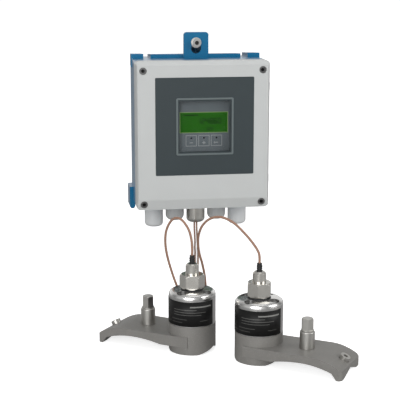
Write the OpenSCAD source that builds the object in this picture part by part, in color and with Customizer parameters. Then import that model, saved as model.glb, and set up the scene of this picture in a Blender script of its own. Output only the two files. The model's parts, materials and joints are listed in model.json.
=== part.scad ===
// Clamp-on ultrasonic flow meter: a wall transmitter and two sensors in their holders, on two cables.
// The origin is the middle of the housing's back face. +Y points into the wall, -Y to the reader, +Z up.

/* [Transmitter housing] */
// Width of the housing
housing_w = 215; // [205:1:250]
// Height of the housing
housing_h = 240; // [230:1:270]
// Depth of the rear housing, from the wall to the cover joint
rear_d = 110; // [100:1:130]
// Depth of the front cover
cover_d = 25; // [24:1:40]
// Thickness of the walls of both shells
wall = 5; // [4:0.5:6]
// Corner radius seen from the front
corner_r = 7; // [7:1:12]
// Width of the hanging tab on top
tab_w = 41; // [36:1:60]
// Height of the hanging tab above the housing
tab_rise = 40.5; // [38:0.5:52]
// Depth of the hanging tab
tab_d = 54; // [52:1:70]

/* [Front] */
// Width of the dark front panel
panel_w = 158; // [130:1:170]
// Height of the dark front panel
panel_h = 156; // [130:1:165]
// Width of the window
window_w = 84; // [80:1:100]
// Height of the window
window_h = 83.5; // [80:0.5:100]
// Width of the visible display
lcd_w = 78; // [60:1:79]
// Height of the visible display
lcd_h = 33.5; // [25:0.5:36]
// Side of one key field
key_size = 18; // [14:0.5:19]

/* [Cable entries] */
// Distance between neighbouring cable entries as a share of the housing's width
pitch_share = 0.165; // [0.15:0.001:0.17]
// Distance from the wall to the row of entries
gland_y = 45; // [40:1:50]
// Radius of the gland nuts as a share of the distance between the entries
nut_share = 0.437; // [0.4:0.001:0.45]

/* [Sensors] */
// Radius of the sensor sleeve and of the holder's cup
sensor_r = 29; // [28:0.5:35]
// Height of the sleeve's upper rim above the pipe
sleeve_top = 70; // [66:1:90]
// Height of the holder's cup
cup_h = 35; // [32:1:40]
// Reach of the holder's arm from the sensor axis
arm_reach = 116; // [112:1:150]
// Height of the arm's upper face
arm_top = 22.5; // [21:0.5:28]
// Distance from the sensor axis to the strap bolt
strap_reach = 62; // [58:1:66]
// Width across the flats of the union nut
union_af = 27; // [26:0.5:34]
// Turn of the pair of sensors against the housing
pair_turn = 35; // [0:1:60]
// Height of the housing's lower face above the surface that the sensors stand on
stand_gap = 80; // [70:1:140]

/* [Cables] */
// Diameter of the sensor cables
cable_d = 3; // [2:0.25:3.5]

/* [Hidden] */
$fn = 64;

// Shared clearances
overrun = 1;
play = 0.1;
running_fit = 0.05;
part_gap = 0.3;

// Planes of the housing
joint_y = -rear_d;
front_y = -(rear_d + cover_d);
top_step = 2;
top_z = housing_h / 2 - top_step;
bottom_z = -housing_h / 2;
side_x = housing_w / 2;

// Rear housing
draft = 4;
top_draft = 2;
floor_t = wall + draft;
ear_w = 21;
ear_h = 21.5;
ear_d = 50;
ear_rise = 5.8;
ear_inset = 0.7;
ear_lean = 2.7;
band_rise = 4.9;
band_share = 0.695;
lobe_out = 3;
lobe_w = 9;
lobe_d = 38;
lobe_h = 37;
lobe_drop = 16;
lug_t = 8;
lug_r = 8;
lug_hole_r = 3.25;
lug_inset = 11.5;
lug_x = side_x - lug_inset;
lug_z = bottom_z - lug_r;
tab_plate = 6;
tab_web = 4;
tab_edge_r = 5;
rib_inset = 6.5;
rib_t = 4.5;
tab_top_z = top_z + tab_rise;

// Hanging bolt in the keyhole of the tab
bolt_r = 4;
bolt_head_r = 6.5;
bolt_head_h = 8;
bolt_socket = 6;
washer_r = 8.5;
washer_t = 1.6;
key_slot_gap = 0.5;
key_slot_r = bolt_r + key_slot_gap;
key_hole_r = 8.3;
bolt_drop = 17;
bolt_z = tab_top_z - bolt_drop;
key_drop = 9.3;
bolt_tip = 1;

// Cover hinge on the right side
hinge_out = 1;
pin_r = 1.2;
knuckle_r = 2.6;
knuckle_l = 12;
lug_l = 7;
knuckle_foot = 4;
hinge_x = side_x + hinge_out;
hinge_z = 75;

// Front cover
side_bevel = 3;
top_bevel = 7;
bottom_bevel = 18;
bevel_d = 6;
screw_inset_x = 12;
screw_inset_top = 15;
screw_inset_bottom = 9.5;
screw_boss_r = 8;
screw_head_r = 5.6;
screw_head_h = 4;
screw_r = 2.5;
screw_seat = 6.4;
screw_slot = 1.4;
screw_hole_depth = 15;
seal_inset = 3;
seal_w = 2;
seal_t = 2;

// Window and display, both centred a little above and beside the middle of the cover
display_x = 2.3;
display_z = 14.3;
panel_recess = 0.8;
panel_t = 1;
frame_line = 3;
frame_t = 0.8;
frame_gap = 1;
liner_t = 1;
glass_t = 3;
glass_lap = 4;
display_gap = 3;
carrier_lap = 7;
carrier_t = 2;
lcd_rise = 5.1;
lcd_rim_w = 1;
lcd_proud = 0.3;
lcd_flange = 3;
key_pitch = 20.4;
key_line = 1;
key_drop_z = 24.2;
key_proud = 0.4;
carrier_front = front_y + wall + glass_t + display_gap;
lcd_z = display_z + lcd_rise;
key_z = display_z - key_drop_z;

// Electronics
board_t = 1.6;
base_t = 3;
base_gap = 7;
base_y = -(floor_t + base_gap);
foot_r = 5;
pillar_r = 3.5;
collar_r = 5;
pillar_spread = 42;
power_gap = 15;
power_y = base_y - base_t - power_gap;
amplifier_gap = 30;
amplifier_y = power_y - amplifier_gap;
display_board_gap = 4;
display_board_y = carrier_front + carrier_t + display_board_gap;
base_side_gap = 22;
base_low_gap = 20;
base_high_gap = 13;
board_w = 160;
board_top_gap = 20;
board_low_z = -35;
board_high_z = top_z - board_top_gap;
io_top_z = -42;
io_gap = 9;
io_y = base_y - base_t - io_gap;
io_post_r = 4;
io_post_inset = 8;
io_low_gap = 16;
terminal_w = 44;
terminal_d = 24;
terminal_h = 14;
terminal_gap = 4;
terminal_hole_r = 1.8;
terminal_hole_depth = 8;
terminal_ways = 7;
transformer_size = [32, 26, 34];
transformer_x = -63;
transformer_drop = 33.7;
core_t = 8;
fuse_r = 3;
fuse_l = 22;
fuse_x = 64;
fuse_drop = 33.7;
fuse_clip_t = 4;
can_w = 56;
can_d = 10;
can_gap = 3.7;
can_x = -30;
can_edge = 3;
lead_r = cable_d / 2;
cable_spread = 2;

// Cable entries along the underside
gland_pitch = pitch_share * housing_w;
nut_r = nut_share * gland_pitch;
ring_share = 0.395;
ring_r = ring_share * gland_pitch;
thread_share = 0.282;
thread_r = thread_share * gland_pitch;
ring_t = 1.7;
gland_in = 9;
gland_flange_h = 8;
locknut_h = 6;
locknut_share = 0.733;
locknut_af = locknut_share * gland_pitch;
flange_share = 0.789;
gland_af = flange_share * gland_pitch;
neck_share = 0.31;
gland_neck_r = neck_share * gland_pitch;
gland_neck_h = 18;
gland_nut_h = 35;
plug_dome_h = 26;
sensor_nut_h = 30;
nut_edge_r = 7;
plug_edge_r = 9.5;
insert_share = 0.2255;
insert_r = insert_share * gland_pitch;
insert_bore_r = insert_r / 2;
insert_h = 26;
gland_top = bottom_z - ring_t;
gland_nut_z = gland_top - gland_flange_h - part_gap;
gland_stem_h = ring_t + floor_t + gland_in;
sensor_gland_z = gland_nut_z - sensor_nut_h;

// Where the sensors stand, and which way their labels and nuts face
stand_z = bottom_z - stand_gap;
left_spot = [-80, -567];
right_spot = [-6, -614];
left_nut_turn = -8;
right_nut_turn = 15;
cap_turn = 46;
label_from = -40;
label_span = 220;

// Holder
cup_wall = 3.8;
arm_back = 8;
arm_half_near = 29.6;
arm_half_far = 32.5;
arm_corner = 3;
crest_s = 82;
tip_h = 11.5;
foot_w = 6;
heel_w = 6;
heel_z = 7.8;
arch_s = 68;
arch_z = 13.8;
arch_near_z = 9.3;
arm_steps = 6;
saddle_half = 22;
saddle_h = 7;

// Sensor stack, heights above the pipe
pad_r = 20;
pad_t = 2.5;
sleeve_inset = 0.2;
label_t = 0.4;
label_low = 36.2;
label_high = 66.8;
cap_plug = 3.5;
shoulder_w = 4.8;
shoulder_h = 5.2;
shoulder_steps = 4;
crown = 0.5;
pocket_r = 6.5;
pocket_depth = 3.6;
pocket_ring = 20.5;
pocket_count = 4;
ring_height = 7.2;
ring_out_r = 14;
connector_r = 11;
collar_h = 2.5;
union_h = 17.5;
union_lip = 2;
union_chamfer = 2.2;
gland_stem_r = 8;
gland_low_h = 5;
gland_high_h = 8;
gland_top_r = 6;
gland_cone = 2;
seal_r = 3.5;
seal_h = 10;
seal_rib = 0.5;
seal_rib_h = 1.4;
seal_rib_pitch = 2.8;
seal_ribs = 3;
body_r = sensor_r - cup_wall;
sleeve_r = sensor_r - sleeve_inset;
body_top = sleeve_top - cap_plug;
union_z = sleeve_top + ring_height + part_gap;
union_top = union_z + union_h;
cap_top = sleeve_top + shoulder_h + crown;
collar_z = union_top - union_lip - part_gap - collar_h;
seal_z = union_top + gland_low_h + gland_high_h;

// Strap bolt, its bush and the lock screw at the arm's tip
bush_r = 9;
bush_h = 21;
bush_spigot_r = 6;
bush_chamfer = 1;
strap_r = 4;
strap_af = 13;
strap_head_h = 14;
strap_collar_r = 7.6;
strap_collar_h = 1.4;
strap_tip = 10;
strap_chamfer = 1.5;
lock_s_inset = 8;
lock_head_r = 6;
lock_head_h = 6;
lock_r = 2.5;
lock_depth = 6;
lock_tip_gap = 1;
lock_sink = 1.5;
lock_socket = 5;

// Cable routes from the middle gland to the sensors, and how finely they are drawn
cable_sides = 8;
cable_cuts = 2;
left_route = [
    [-2, -45, -160], [-2, -45, -170], [-2, -49, -182], [-3, -60, -192], [-6, -78, -198],
    [-10, -109, -198], [-16, -149, -198], [-28, -235, -198], [-44, -345, -198], [-55, -420, -198],
    [-61, -457, -198], [-65, -480, -194], [-71, -496, -182], [-79, -505, -166], [-87, -510, -148],
    [-94, -514, -130], [-100, -518, -112], [-105, -523, -94], [-108, -528, -77], [-108, -534, -60],
    [-104, -542, -46], [-98, -549, -39], [-91, -557, -40], [-84, -564, -50], [-81, -566, -61],
    [-80, -567, -71], [-80, -567, -82]
];
right_route = [
    [2, -45, -160], [2, -45, -170], [2, -49, -182], [1, -60, -192], [-1, -78, -198],
    [-5, -109, -198], [-11, -149, -198], [-24, -235, -198], [-40, -345, -198], [-51, -420, -198],
    [-56, -455, -198], [-57, -477, -193], [-55, -494, -180], [-53, -503, -161], [-54, -508, -143],
    [-56, -513, -125], [-60, -519, -107], [-65, -527, -91], [-68, -536, -77], [-69, -547, -62],
    [-66, -559, -47], [-58, -571, -36], [-47, -583, -32], [-35, -595, -36], [-24, -604, -46],
    [-14, -611, -58], [-7, -614, -70], [-6, -614, -82]
];

// Shapes shared by several pieces

// Extrudes a front view from y_back towards the reader
module slab(y_back, depth) {
    translate([0, y_back, 0]) rotate([90, 0, 0]) linear_extrude(depth) children();
}

// Extrudes a side view, drawn in Y and Z, across X
module along_x(length) {
    rotate([90, 0, 90]) linear_extrude(length, center = true) children();
}

// Extrudes a side view, drawn in X and Z, across Y
module along_y(length) {
    rotate([90, 0, 0]) linear_extrude(length, center = true) children();
}

module round_rect(w, h, r) {
    square([w - 2 * r, h], center = true);
    square([w, h - 2 * r], center = true);
    for (x = [-1, 1], y = [-1, 1])
        translate([x * (w / 2 - r), y * (h / 2 - r)]) circle(r);
}

module hexagon(af) {
    circle(r = af / sqrt(3), $fn = 6);
}

// Rod along Y from y_back towards the reader
module rod(y_back, depth, r) {
    slab(y_back, depth) circle(r);
}

module at_cover_screws() {
    for (x = [-1, 1], z = [top_z - screw_inset_top, bottom_z + screw_inset_bottom])
        translate([x * (side_x - screw_inset_x), 0, z]) children();
}

module at_pillars() {
    for (x = [-1, 1], z = [-1, 1])
        translate([display_x + x * pillar_spread, 0, display_z + z * pillar_spread]) children();
}

// Places one cable entry, counted from the middle of the row
module at_entry(index) {
    translate([index * gland_pitch, -gland_y, 0]) children();
}

// Round body standing on z = 0 with a rounded lower edge
module dome(r, h, edge_r) {
    rotate_extrude() intersection() {
        union() {
            translate([-r, edge_r]) square([2 * r, h - edge_r]);
            translate([edge_r - r, 0]) square([2 * (r - edge_r), h]);
            for (x = [-1, 1]) translate([x * (r - edge_r), edge_r]) circle(edge_r);
        }
        square([r, h]);
    }
}

// Rear housing

// Front view of both shells, or with an inset that of the hollows in them
module shell_outline(inset, r) {
    translate([0, (top_z + bottom_z) / 2])
        round_rect(housing_w - 2 * inset, top_z - bottom_z - 2 * inset, r);
}

module rear_block() {
    intersection() {
        slab(0, rear_d) shell_outline(0, corner_r);
        linear_extrude(housing_h, center = true) polygon([
            [-side_x, joint_y], [side_x, joint_y], [side_x - draft, 0], [draft - side_x, 0]
        ]);
        along_x(housing_w) polygon([
            [joint_y, bottom_z], [joint_y, top_z], [0, top_z - top_draft], [0, bottom_z]
        ]);
    }
}

module rear_cavity() {
    slab(-wall, rear_d) shell_outline(floor_t, corner_r / 2);
}

// Block at the wall, ear_d deep, that leans in towards its back as it leaves the mould
module leaning_block(x, w, top, h) {
    intersection() {
        translate([x - w / 2, -ear_d, top - h]) cube([w, ear_d, h]);
        linear_extrude(top) polygon([
            [ear_inset - side_x, -ear_d], [side_x - ear_inset, -ear_d],
            [side_x - ear_inset - ear_lean, 0], [ear_inset + ear_lean - side_x, 0]
        ]);
        along_x(housing_w) polygon([[-ear_d, 0], [-ear_d, top], [0, top - ear_lean], [0, 0]]);
    }
}

// Corner ears and the band between them, which stand proud at the wall
module wall_band() {
    for (x = [-1, 1]) leaning_block(x * (side_x - ear_w / 2), ear_w, top_z + ear_rise, ear_h);
    leaning_block(0, housing_w * band_share, top_z + band_rise, ear_h / 2);
}

// Rounded fins low on both sides, with the wall lugs at their feet
module lower_lobes() {
    lobe_z = bottom_z - lobe_drop;
    for (x = [-1, 1]) {
        slab(0, lobe_d) translate([x * (side_x + lobe_out - lobe_w / 2), lobe_z]) {
            translate([-lobe_w / 2, lobe_w / 2]) square([lobe_w, lobe_h - lobe_w / 2]);
            translate([0, lobe_w / 2]) circle(lobe_w / 2);
        }
        slab(0, lug_t) {
            translate([x * lug_x, lug_z]) circle(lug_r);
            translate([x * lug_x - lug_r, lug_z]) square([2 * lug_r, 2 * lug_r]);
            translate([x * (lug_x + lug_inset / 2) - lug_inset / 2, lug_z - lug_r / 2])
                square([lug_inset, 2 * lug_r]);
        }
    }
}

// Outline of the tab, or with an inset that of the ribs behind its plate
module tab_outline(inset) {
    low_z = top_z - 2 * draft;
    h = tab_top_z - inset - low_z;
    r = tab_edge_r;
    w = tab_w - 2 * inset;
    translate([-w / 2, low_z]) square([w, h - r]);
    translate([r - w / 2, low_z]) square([w - 2 * r, h]);
    for (x = [-1, 1]) translate([x * (w / 2 - r), low_z + h - r]) circle(r);
}

// Front plate of the tab and the box of ribs that carries it from the wall
module hanging_tab() {
    slab(tab_plate - tab_d, tab_plate) tab_outline(0);
    slab(0, tab_d - tab_plate / 2) tab_outline(rib_inset);
}

module tab_hollow() {
    slab(-tab_web, tab_d - tab_plate - tab_web) intersection() {
        tab_outline(rib_inset + rib_t);
        translate([-tab_w / 2, top_z + band_rise]) square([tab_w, tab_rise]);
    }
}

// Keyhole through the tab's front plate, and the bolt's bore through the web at the wall
module keyhole() {
    slab(tab_plate - tab_d + overrun, tab_plate + 2 * overrun) {
        translate([0, bolt_z - key_drop]) circle(key_hole_r);
        translate([0, bolt_z]) circle(key_slot_r);
        translate([-key_slot_r, bolt_z - key_drop]) square([2 * key_slot_r, key_drop]);
    }
    translate([0, 0, bolt_z]) rod(overrun, tab_web + 2 * overrun, bolt_r + play);
}

module at_hinges() {
    for (z = [-hinge_z, hinge_z]) translate([hinge_x, joint_y, z]) mirror([1, 0, 0]) children();
}

// Hinge eye around the pin with a foot that reaches back or forward to its shell
module hinge_eye(low_z, length, side) {
    translate([0, 0, low_z]) linear_extrude(length) difference() {
        union() {
            circle(knuckle_r);
            translate([-knuckle_r, side > 0 ? 0 : -knuckle_foot])
                square([knuckle_r + hinge_out + draft, knuckle_foot]);
        }
        circle(pin_r + running_fit);
    }
}

module rear_eyes() {
    for (z = [-knuckle_l / 2 - part_gap - lug_l, knuckle_l / 2 + part_gap])
        at_hinges() hinge_eye(z, lug_l, 1);
}

// Room in a shell's edge for the other shell's eyes
module eye_room(low_z, length) {
    at_hinges() translate([0, 0, low_z - part_gap])
        cylinder(h = length + 2 * part_gap, r = knuckle_r + part_gap);
}

// Bores for the hinge pins where they run past the side walls
module pin_bores() {
    length = knuckle_l + 2 * (lug_l + part_gap);
    at_hinges() translate([0, 0, -length / 2]) cylinder(h = length, r = pin_r + running_fit);
}

module rear_housing() {
    color([0.05, 0.42, 0.62]) difference() {
        union() {
            difference() {
                union() {
                    rear_block();
                    wall_band();
                    lower_lobes();
                    hanging_tab();
                }
                tab_hollow();
                eye_room(-knuckle_l / 2, knuckle_l);
            }
            rear_eyes();
        }
        difference() {
            rear_cavity();
            at_cover_screws() rod(0, rear_d, screw_boss_r);
        }
        at_cover_screws() rod(joint_y + screw_hole_depth, screw_hole_depth + overrun, screw_r - play);
        slab(joint_y + seal_t, seal_t + overrun) seal_ring();
        pin_bores();
        for (index = [-2:2]) at_entry(index) translate([0, 0, bottom_z - overrun])
            cylinder(h = floor_t + 2 * overrun, r = thread_r + play);
        for (x = [-1, 1]) translate([x * lug_x, 0, lug_z])
            rod(overrun, lug_t + 2 * overrun, lug_hole_r);
        keyhole();
    }
}

module wall_bolt() {
    color("silver") translate([0, 0, bolt_z]) difference() {
        union() {
            rod(-bolt_tip, tab_d + washer_t - bolt_tip, bolt_r);
            rod(-tab_d - washer_t, bolt_head_h, bolt_head_r);
        }
        slab(-tab_d - washer_t - bolt_head_h / 2, bolt_head_h) hexagon(bolt_socket);
    }
}

module bolt_washer() {
    color("silver") translate([0, 0, bolt_z]) slab(-tab_d, washer_t) difference() {
        circle(washer_r);
        circle(bolt_r + play);
    }
}

// Front cover

// The cover's body, or with an inset the hollow in it
module cover_block(inset, reach_back) {
    x = side_x - inset;
    low = bottom_z + inset;
    high = top_z - inset;
    back = joint_y + reach_back;
    front = front_y + inset;
    intersection() {
        slab(back, back - front) shell_outline(inset, corner_r - inset);
        linear_extrude(housing_h, center = true) polygon([
            [-x, back], [-x, front + bevel_d], [side_bevel - x, front],
            [x - side_bevel, front], [x, front + bevel_d], [x, back]
        ]);
        along_x(housing_w) polygon([
            [back, low], [front + bevel_d, low], [front, low + bottom_bevel],
            [front, high - top_bevel], [front + bevel_d, high], [back, high]
        ]);
    }
}

module window_outline(grow) {
    translate([display_x, display_z]) square([window_w + 2 * grow, window_h + 2 * grow], center = true);
}

module front_cover() {
    shank_r = screw_r + play;
    color([0.77, 0.78, 0.77]) difference() {
        union() {
            difference() {
                cover_block(0, 0);
                for (z = [-knuckle_l / 2 - part_gap - lug_l, knuckle_l / 2 + part_gap])
                    eye_room(z, lug_l);
            }
            at_hinges() hinge_eye(-knuckle_l / 2, knuckle_l, -1);
        }
        difference() {
            cover_block(wall, overrun);
            at_cover_screws() rod(joint_y, cover_d, screw_boss_r);
        }
        pin_bores();
        at_cover_screws() rod(joint_y + overrun, cover_d + 2 * overrun, shank_r);
        at_cover_screws() rod(front_y + screw_seat, cover_d, screw_head_r + part_gap);
        slab(front_y + wall + overrun, wall + 2 * overrun) window_outline(0);
        slab(front_y + panel_recess, cover_d) panel_outline(part_gap / 2);
    }
}

module seal_ring() {
    difference() {
        shell_outline(seal_inset, corner_r - seal_inset);
        shell_outline(seal_inset + seal_w, corner_r - seal_inset - seal_w);
    }
}

module cover_seal() {
    color("dimgray") slab(joint_y + seal_t, seal_t) seal_ring();
}

module hinge_pins() {
    length = knuckle_l + 2 * (lug_l + part_gap);
    color("silver") at_hinges() translate([0, 0, -length / 2]) cylinder(h = length, r = pin_r);
}

module cover_screws() {
    seat_y = front_y + screw_seat;
    color("gray") at_cover_screws() difference() {
        union() {
            rod(seat_y, screw_head_h, screw_head_r);
            rod(joint_y - part_gap, joint_y - part_gap - seat_y, screw_r);
        }
        slab(seat_y - screw_head_h / 2, screw_head_h) {
            square([2 * screw_head_r + overrun, screw_slot], center = true);
            square([screw_slot, screw_head_r], center = true);
        }
    }
}

module panel_outline(grow) {
    translate([display_x, display_z])
        round_rect(panel_w + 2 * grow, panel_h + 2 * grow, corner_r / 4);
}

module front_panel() {
    color([0.24, 0.27, 0.28]) slab(front_y + panel_recess, panel_t) difference() {
        panel_outline(0);
        window_outline(0);
    }
}

module window_frame() {
    color([0.45, 0.5, 0.51]) slab(front_y + panel_recess - panel_t, frame_t) difference() {
        translate([display_x, display_z]) round_rect(
            window_w + 2 * (frame_gap + frame_line), window_h + 2 * (frame_gap + frame_line), frame_line
        );
        window_outline(frame_gap);
    }
}

module window_liner() {
    color([0.3, 0.33, 0.34]) slab(front_y + wall, wall - panel_recess + panel_t) difference() {
        window_outline(-play);
        window_outline(-play - liner_t);
    }
}

module window_glass() {
    color([0.8, 0.9, 0.9, 0.4]) slab(front_y + wall + glass_t, glass_t) window_outline(glass_lap);
}

// Display behind the window

module display_carrier() {
    color([0.33, 0.36, 0.38]) difference() {
        slab(carrier_front + carrier_t, carrier_t) window_outline(carrier_lap);
        slab(carrier_front + carrier_t + overrun, carrier_t + 2 * overrun)
            translate([display_x, lcd_z]) square([lcd_w + 2 * play, lcd_h + 2 * play], center = true);
    }
    color([0.33, 0.36, 0.38]) at_pillars()
        rod(display_board_y, display_board_y - carrier_front - carrier_t, collar_r);
}

// Display module: its visible face, and the wider back that lies between the carrier and the board
module lcd_screen() {
    back = carrier_front + carrier_t;
    color([0.15, 0.4, 0.02]) translate([display_x, 0, lcd_z]) {
        slab(back, carrier_t) square([lcd_w - 2 * lcd_rim_w, lcd_h - 2 * lcd_rim_w], center = true);
        slab(display_board_y, display_board_y - back)
            square([lcd_w + 2 * lcd_flange, lcd_h + 2 * lcd_flange], center = true);
    }
}

module lcd_rim() {
    color([0.45, 0.6, 0.35]) translate([display_x, 0, lcd_z])
        slab(carrier_front + carrier_t, carrier_t + lcd_proud) difference() {
            square([lcd_w, lcd_h], center = true);
            square([lcd_w - 2 * (lcd_rim_w - play), lcd_h - 2 * (lcd_rim_w - play)], center = true);
        }
}

module key_frames() {
    color([0.6, 0.64, 0.65]) for (index = [-1:1])
        translate([display_x + index * key_pitch, 0, key_z])
            slab(carrier_front, key_proud) difference() {
                square(key_size, center = true);
                square(key_size - 2 * key_line, center = true);
            }
}

module display_board() {
    color("darkgreen") slab(display_board_y + board_t, board_t) difference() {
        window_outline(carrier_lap / 2 + collar_r);
        at_flat_pillars() circle(pillar_r + play);
    }
}

// Electronics stack on the base plate

module at_flat_pillars() {
    for (x = [-1, 1], z = [-1, 1])
        translate([display_x + x * pillar_spread, display_z + z * pillar_spread]) children();
}

module board_outline() {
    difference() {
        translate([-board_w / 2, board_low_z]) square([board_w, board_high_z - board_low_z]);
        at_flat_pillars() circle(pillar_r + play);
    }
}

module board_spacers() {
    color("white") at_pillars() {
        spacer(power_y - board_t, amplifier_y);
        spacer(amplifier_y - board_t, display_board_y + board_t);
    }
}

module spacer(y_back, y_front) {
    slab(y_back, y_back - y_front) difference() {
        circle(collar_r);
        circle(pillar_r + play);
    }
}

module base_outline() {
    low = bottom_z + base_low_gap;
    high = top_z - base_high_gap;
    w = housing_w - 2 * base_side_gap;
    translate([-w / 2, low]) square([w, high - low]);
}

module at_flat_io_posts() {
    for (x = [-1, 1], z = [io_top_z - io_post_inset, bottom_z + base_low_gap + io_post_inset])
        translate([x * (board_w / 2 - io_post_inset), z]) children();
}

module at_io_posts() {
    for (x = [-1, 1], z = [io_top_z - io_post_inset, bottom_z + base_low_gap + io_post_inset])
        translate([x * (board_w / 2 - io_post_inset), 0, z]) children();
}

module base_plate() {
    color([0.2, 0.2, 0.22]) slab(base_y, base_t) difference() {
        base_outline();
        at_flat_pillars() circle(pillar_r + play);
        at_flat_io_posts() circle(pillar_r + play);
    }
}

// Pillars and posts from the housing's back through the base plate to the boards
module standoffs() {
    plate_front = base_y - base_t;
    color("silver") {
        at_pillars() {
            rod(-wall, -wall - base_y, collar_r);
            rod(plate_front, plate_front - power_y, collar_r);
            rod(-wall, -wall - display_board_y, pillar_r);
        }
        at_io_posts() {
            rod(-wall, -wall - base_y, foot_r);
            rod(-wall, -wall - plate_front, pillar_r);
            rod(plate_front, plate_front - io_y, io_post_r);
        }
    }
}

module power_board() {
    color("darkgreen") slab(power_y, board_t) board_outline();
}

module transformer() {
    y_back = power_y - board_t;
    w = transformer_size[0];
    d = transformer_size[1];
    h = transformer_size[2];
    color([0.75, 0.6, 0.2]) translate([transformer_x, 0, board_high_z - transformer_drop]) {
        slab(y_back, d) square([w - 2 * core_t, h], center = true);
        slab(y_back - core_t / 2, d - core_t) square([w, h - core_t], center = true);
    }
}

module fuse() {
    y_axis = power_y - board_t - fuse_clip_t - fuse_r;
    color("silver") translate([fuse_x, y_axis, board_high_z - fuse_drop]) {
        translate([-fuse_l / 2, 0, 0]) rotate([0, 90, 0]) cylinder(h = fuse_l, r = fuse_r);
        for (x = [-1, 1])
            translate([x * (fuse_l / 2 - fuse_r) - fuse_r / 2, 0, -fuse_r / 2])
                cube([fuse_r, fuse_clip_t + fuse_r, fuse_r]);
    }
}

module amplifier_board() {
    color("darkgreen") slab(amplifier_y, board_t) board_outline();
}

module shield_can() {
    low = display_z + pillar_spread + collar_r + can_gap;
    high = board_high_z - can_edge;
    color("silver") slab(amplifier_y - board_t, can_d)
        translate([can_x - can_w / 2, low]) square([can_w, high - low]);
}

module io_board() {
    low = bottom_z + io_low_gap;
    color("darkgreen") slab(io_y, board_t)
        translate([-board_w / 2, low]) square([board_w, io_top_z - low]);
}

module terminal_blocks() {
    color([0.15, 0.45, 0.3]) for (index = [-1:1])
        translate([index * (terminal_w + terminal_gap), 0, bottom_z + base_low_gap + terminal_gap])
            terminal_block();
}

module terminal_block() {
    pitch = terminal_w / terminal_ways;
    back = io_y - board_t;
    difference() {
        slab(back, terminal_d) translate([-terminal_w / 2, 0]) square([terminal_w, terminal_h]);
        for (way = [1:terminal_ways - 1])
            translate([way * pitch - terminal_w / 2, 0, terminal_h / 2])
                rod(back - terminal_d + terminal_hole_depth, 2 * terminal_hole_depth, terminal_hole_r);
    }
}

module sensor_leads() {
    low = sensor_gland_z + insert_h;
    high = bottom_z + base_low_gap + terminal_gap;
    color([0.6, 0.4, 0.3]) for (x = [-1, 1])
        translate([x * cable_spread, -gland_y, low]) cylinder(h = high - low, r = lead_r);
}

// Cable entries

module gland_rings() {
    color("black") for (index = [-2:2]) at_entry(index) translate([0, 0, gland_top]) difference() {
        cylinder(h = ring_t, r = ring_r);
        translate([0, 0, -overrun]) cylinder(h = ring_t + 2 * overrun, r = thread_r + play);
    }
}

module gland_locknuts() {
    color("silver") for (index = [-2:2]) at_entry(index) translate([0, 0, bottom_z + floor_t])
        linear_extrude(locknut_h) difference() {
            hexagon(locknut_af);
            circle(thread_r + play);
        }
}

// Threaded stem and hexagon flange below the housing
module entry_stem() {
    translate([0, 0, gland_top]) cylinder(h = gland_stem_h, r = thread_r);
    translate([0, 0, gland_top - gland_flange_h]) linear_extrude(gland_flange_h) hexagon(gland_af);
}

module entry_body(neck_h) {
    difference() {
        union() {
            entry_stem();
            translate([0, 0, gland_nut_z - neck_h]) cylinder(h = neck_h + gland_flange_h, r = gland_neck_r);
        }
        translate([0, 0, gland_nut_z - neck_h - overrun])
            cylinder(h = neck_h + gland_flange_h + gland_stem_h + 3 * overrun, r = insert_r + play);
    }
}

// Cap nut with a hollow for the body's neck and a hole for the rubber insert
module entry_nut(height, neck_h) {
    translate([0, 0, gland_nut_z - height]) difference() {
        dome(nut_r, height, nut_edge_r);
        translate([0, 0, height - neck_h - part_gap])
            cylinder(h = neck_h + overrun, r = gland_neck_r + play);
        translate([0, 0, -overrun]) cylinder(h = height, r = insert_r + play);
    }
}

module gland_bodies() {
    color([0.6, 0.62, 0.62]) for (index = [-2, 2]) at_entry(index) entry_body(gland_neck_h);
}

module gland_nuts() {
    color([0.75, 0.76, 0.76]) for (index = [-2, 2]) at_entry(index) entry_nut(gland_nut_h, gland_neck_h);
}

module gland_inserts() {
    color("dimgray") for (index = [-2, 2]) at_entry(index)
        translate([0, 0, gland_nut_z - gland_nut_h]) difference() {
            cylinder(h = insert_h, r = insert_r);
            translate([0, 0, -overrun]) cylinder(h = insert_h + 2 * overrun, r = insert_bore_r);
        }
}

module blanking_plugs() {
    color([0.6, 0.62, 0.62]) for (index = [-1, 1]) at_entry(index) {
        entry_stem();
        translate([0, 0, gland_top - gland_flange_h - plug_dome_h])
            dome(nut_r, plug_dome_h, plug_edge_r);
    }
}

module sensor_gland_body() {
    color([0.7, 0.69, 0.66]) at_entry(0) entry_body(gland_neck_h);
}

module sensor_gland_nut() {
    color([0.7, 0.69, 0.66]) at_entry(0) entry_nut(sensor_nut_h, gland_neck_h);
}

// Rubber plug that grips both cables, filling the gland to the top of its stem
module sensor_gland_insert() {
    color("dimgray") at_entry(0) translate([0, 0, sensor_gland_z])
        cylinder(h = insert_h, r = insert_r);
}

// Sensors. In the holder's own axes X runs along the arm, and z = 0 is the pipe's crown.

module at_left() {
    translate([left_spot[0], left_spot[1], stand_z]) children();
}

module at_right() {
    translate([right_spot[0], right_spot[1], stand_z]) children();
}

module at_left_arm() {
    at_left() rotate([0, 0, 180 - pair_turn]) children();
}

module at_right_arm() {
    at_right() rotate([0, 0, -pair_turn]) children();
}

// Height of the arm's upper face, which bends down past its crest
function arm_z(s) =
    s < crest_s ? arm_top
    : arm_top - (arm_top - tip_h) * pow((s - crest_s) / (arm_reach - crest_s), 2);

// Height of the arm's lower face, a shallow arch between the cup and the heel
function arch(s) =
    s < arch_s ? arch_z - (arch_z - arch_near_z) * pow((arch_s - s) / (arch_s - sensor_r), 2)
    : arch_z - (arch_z - heel_z) * pow((s - arch_s) / (arm_reach - foot_w - heel_w - arch_s), 2);

function spread(low, high, steps) = [for (i = [0:steps]) low + (high - low) * i / steps];

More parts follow.
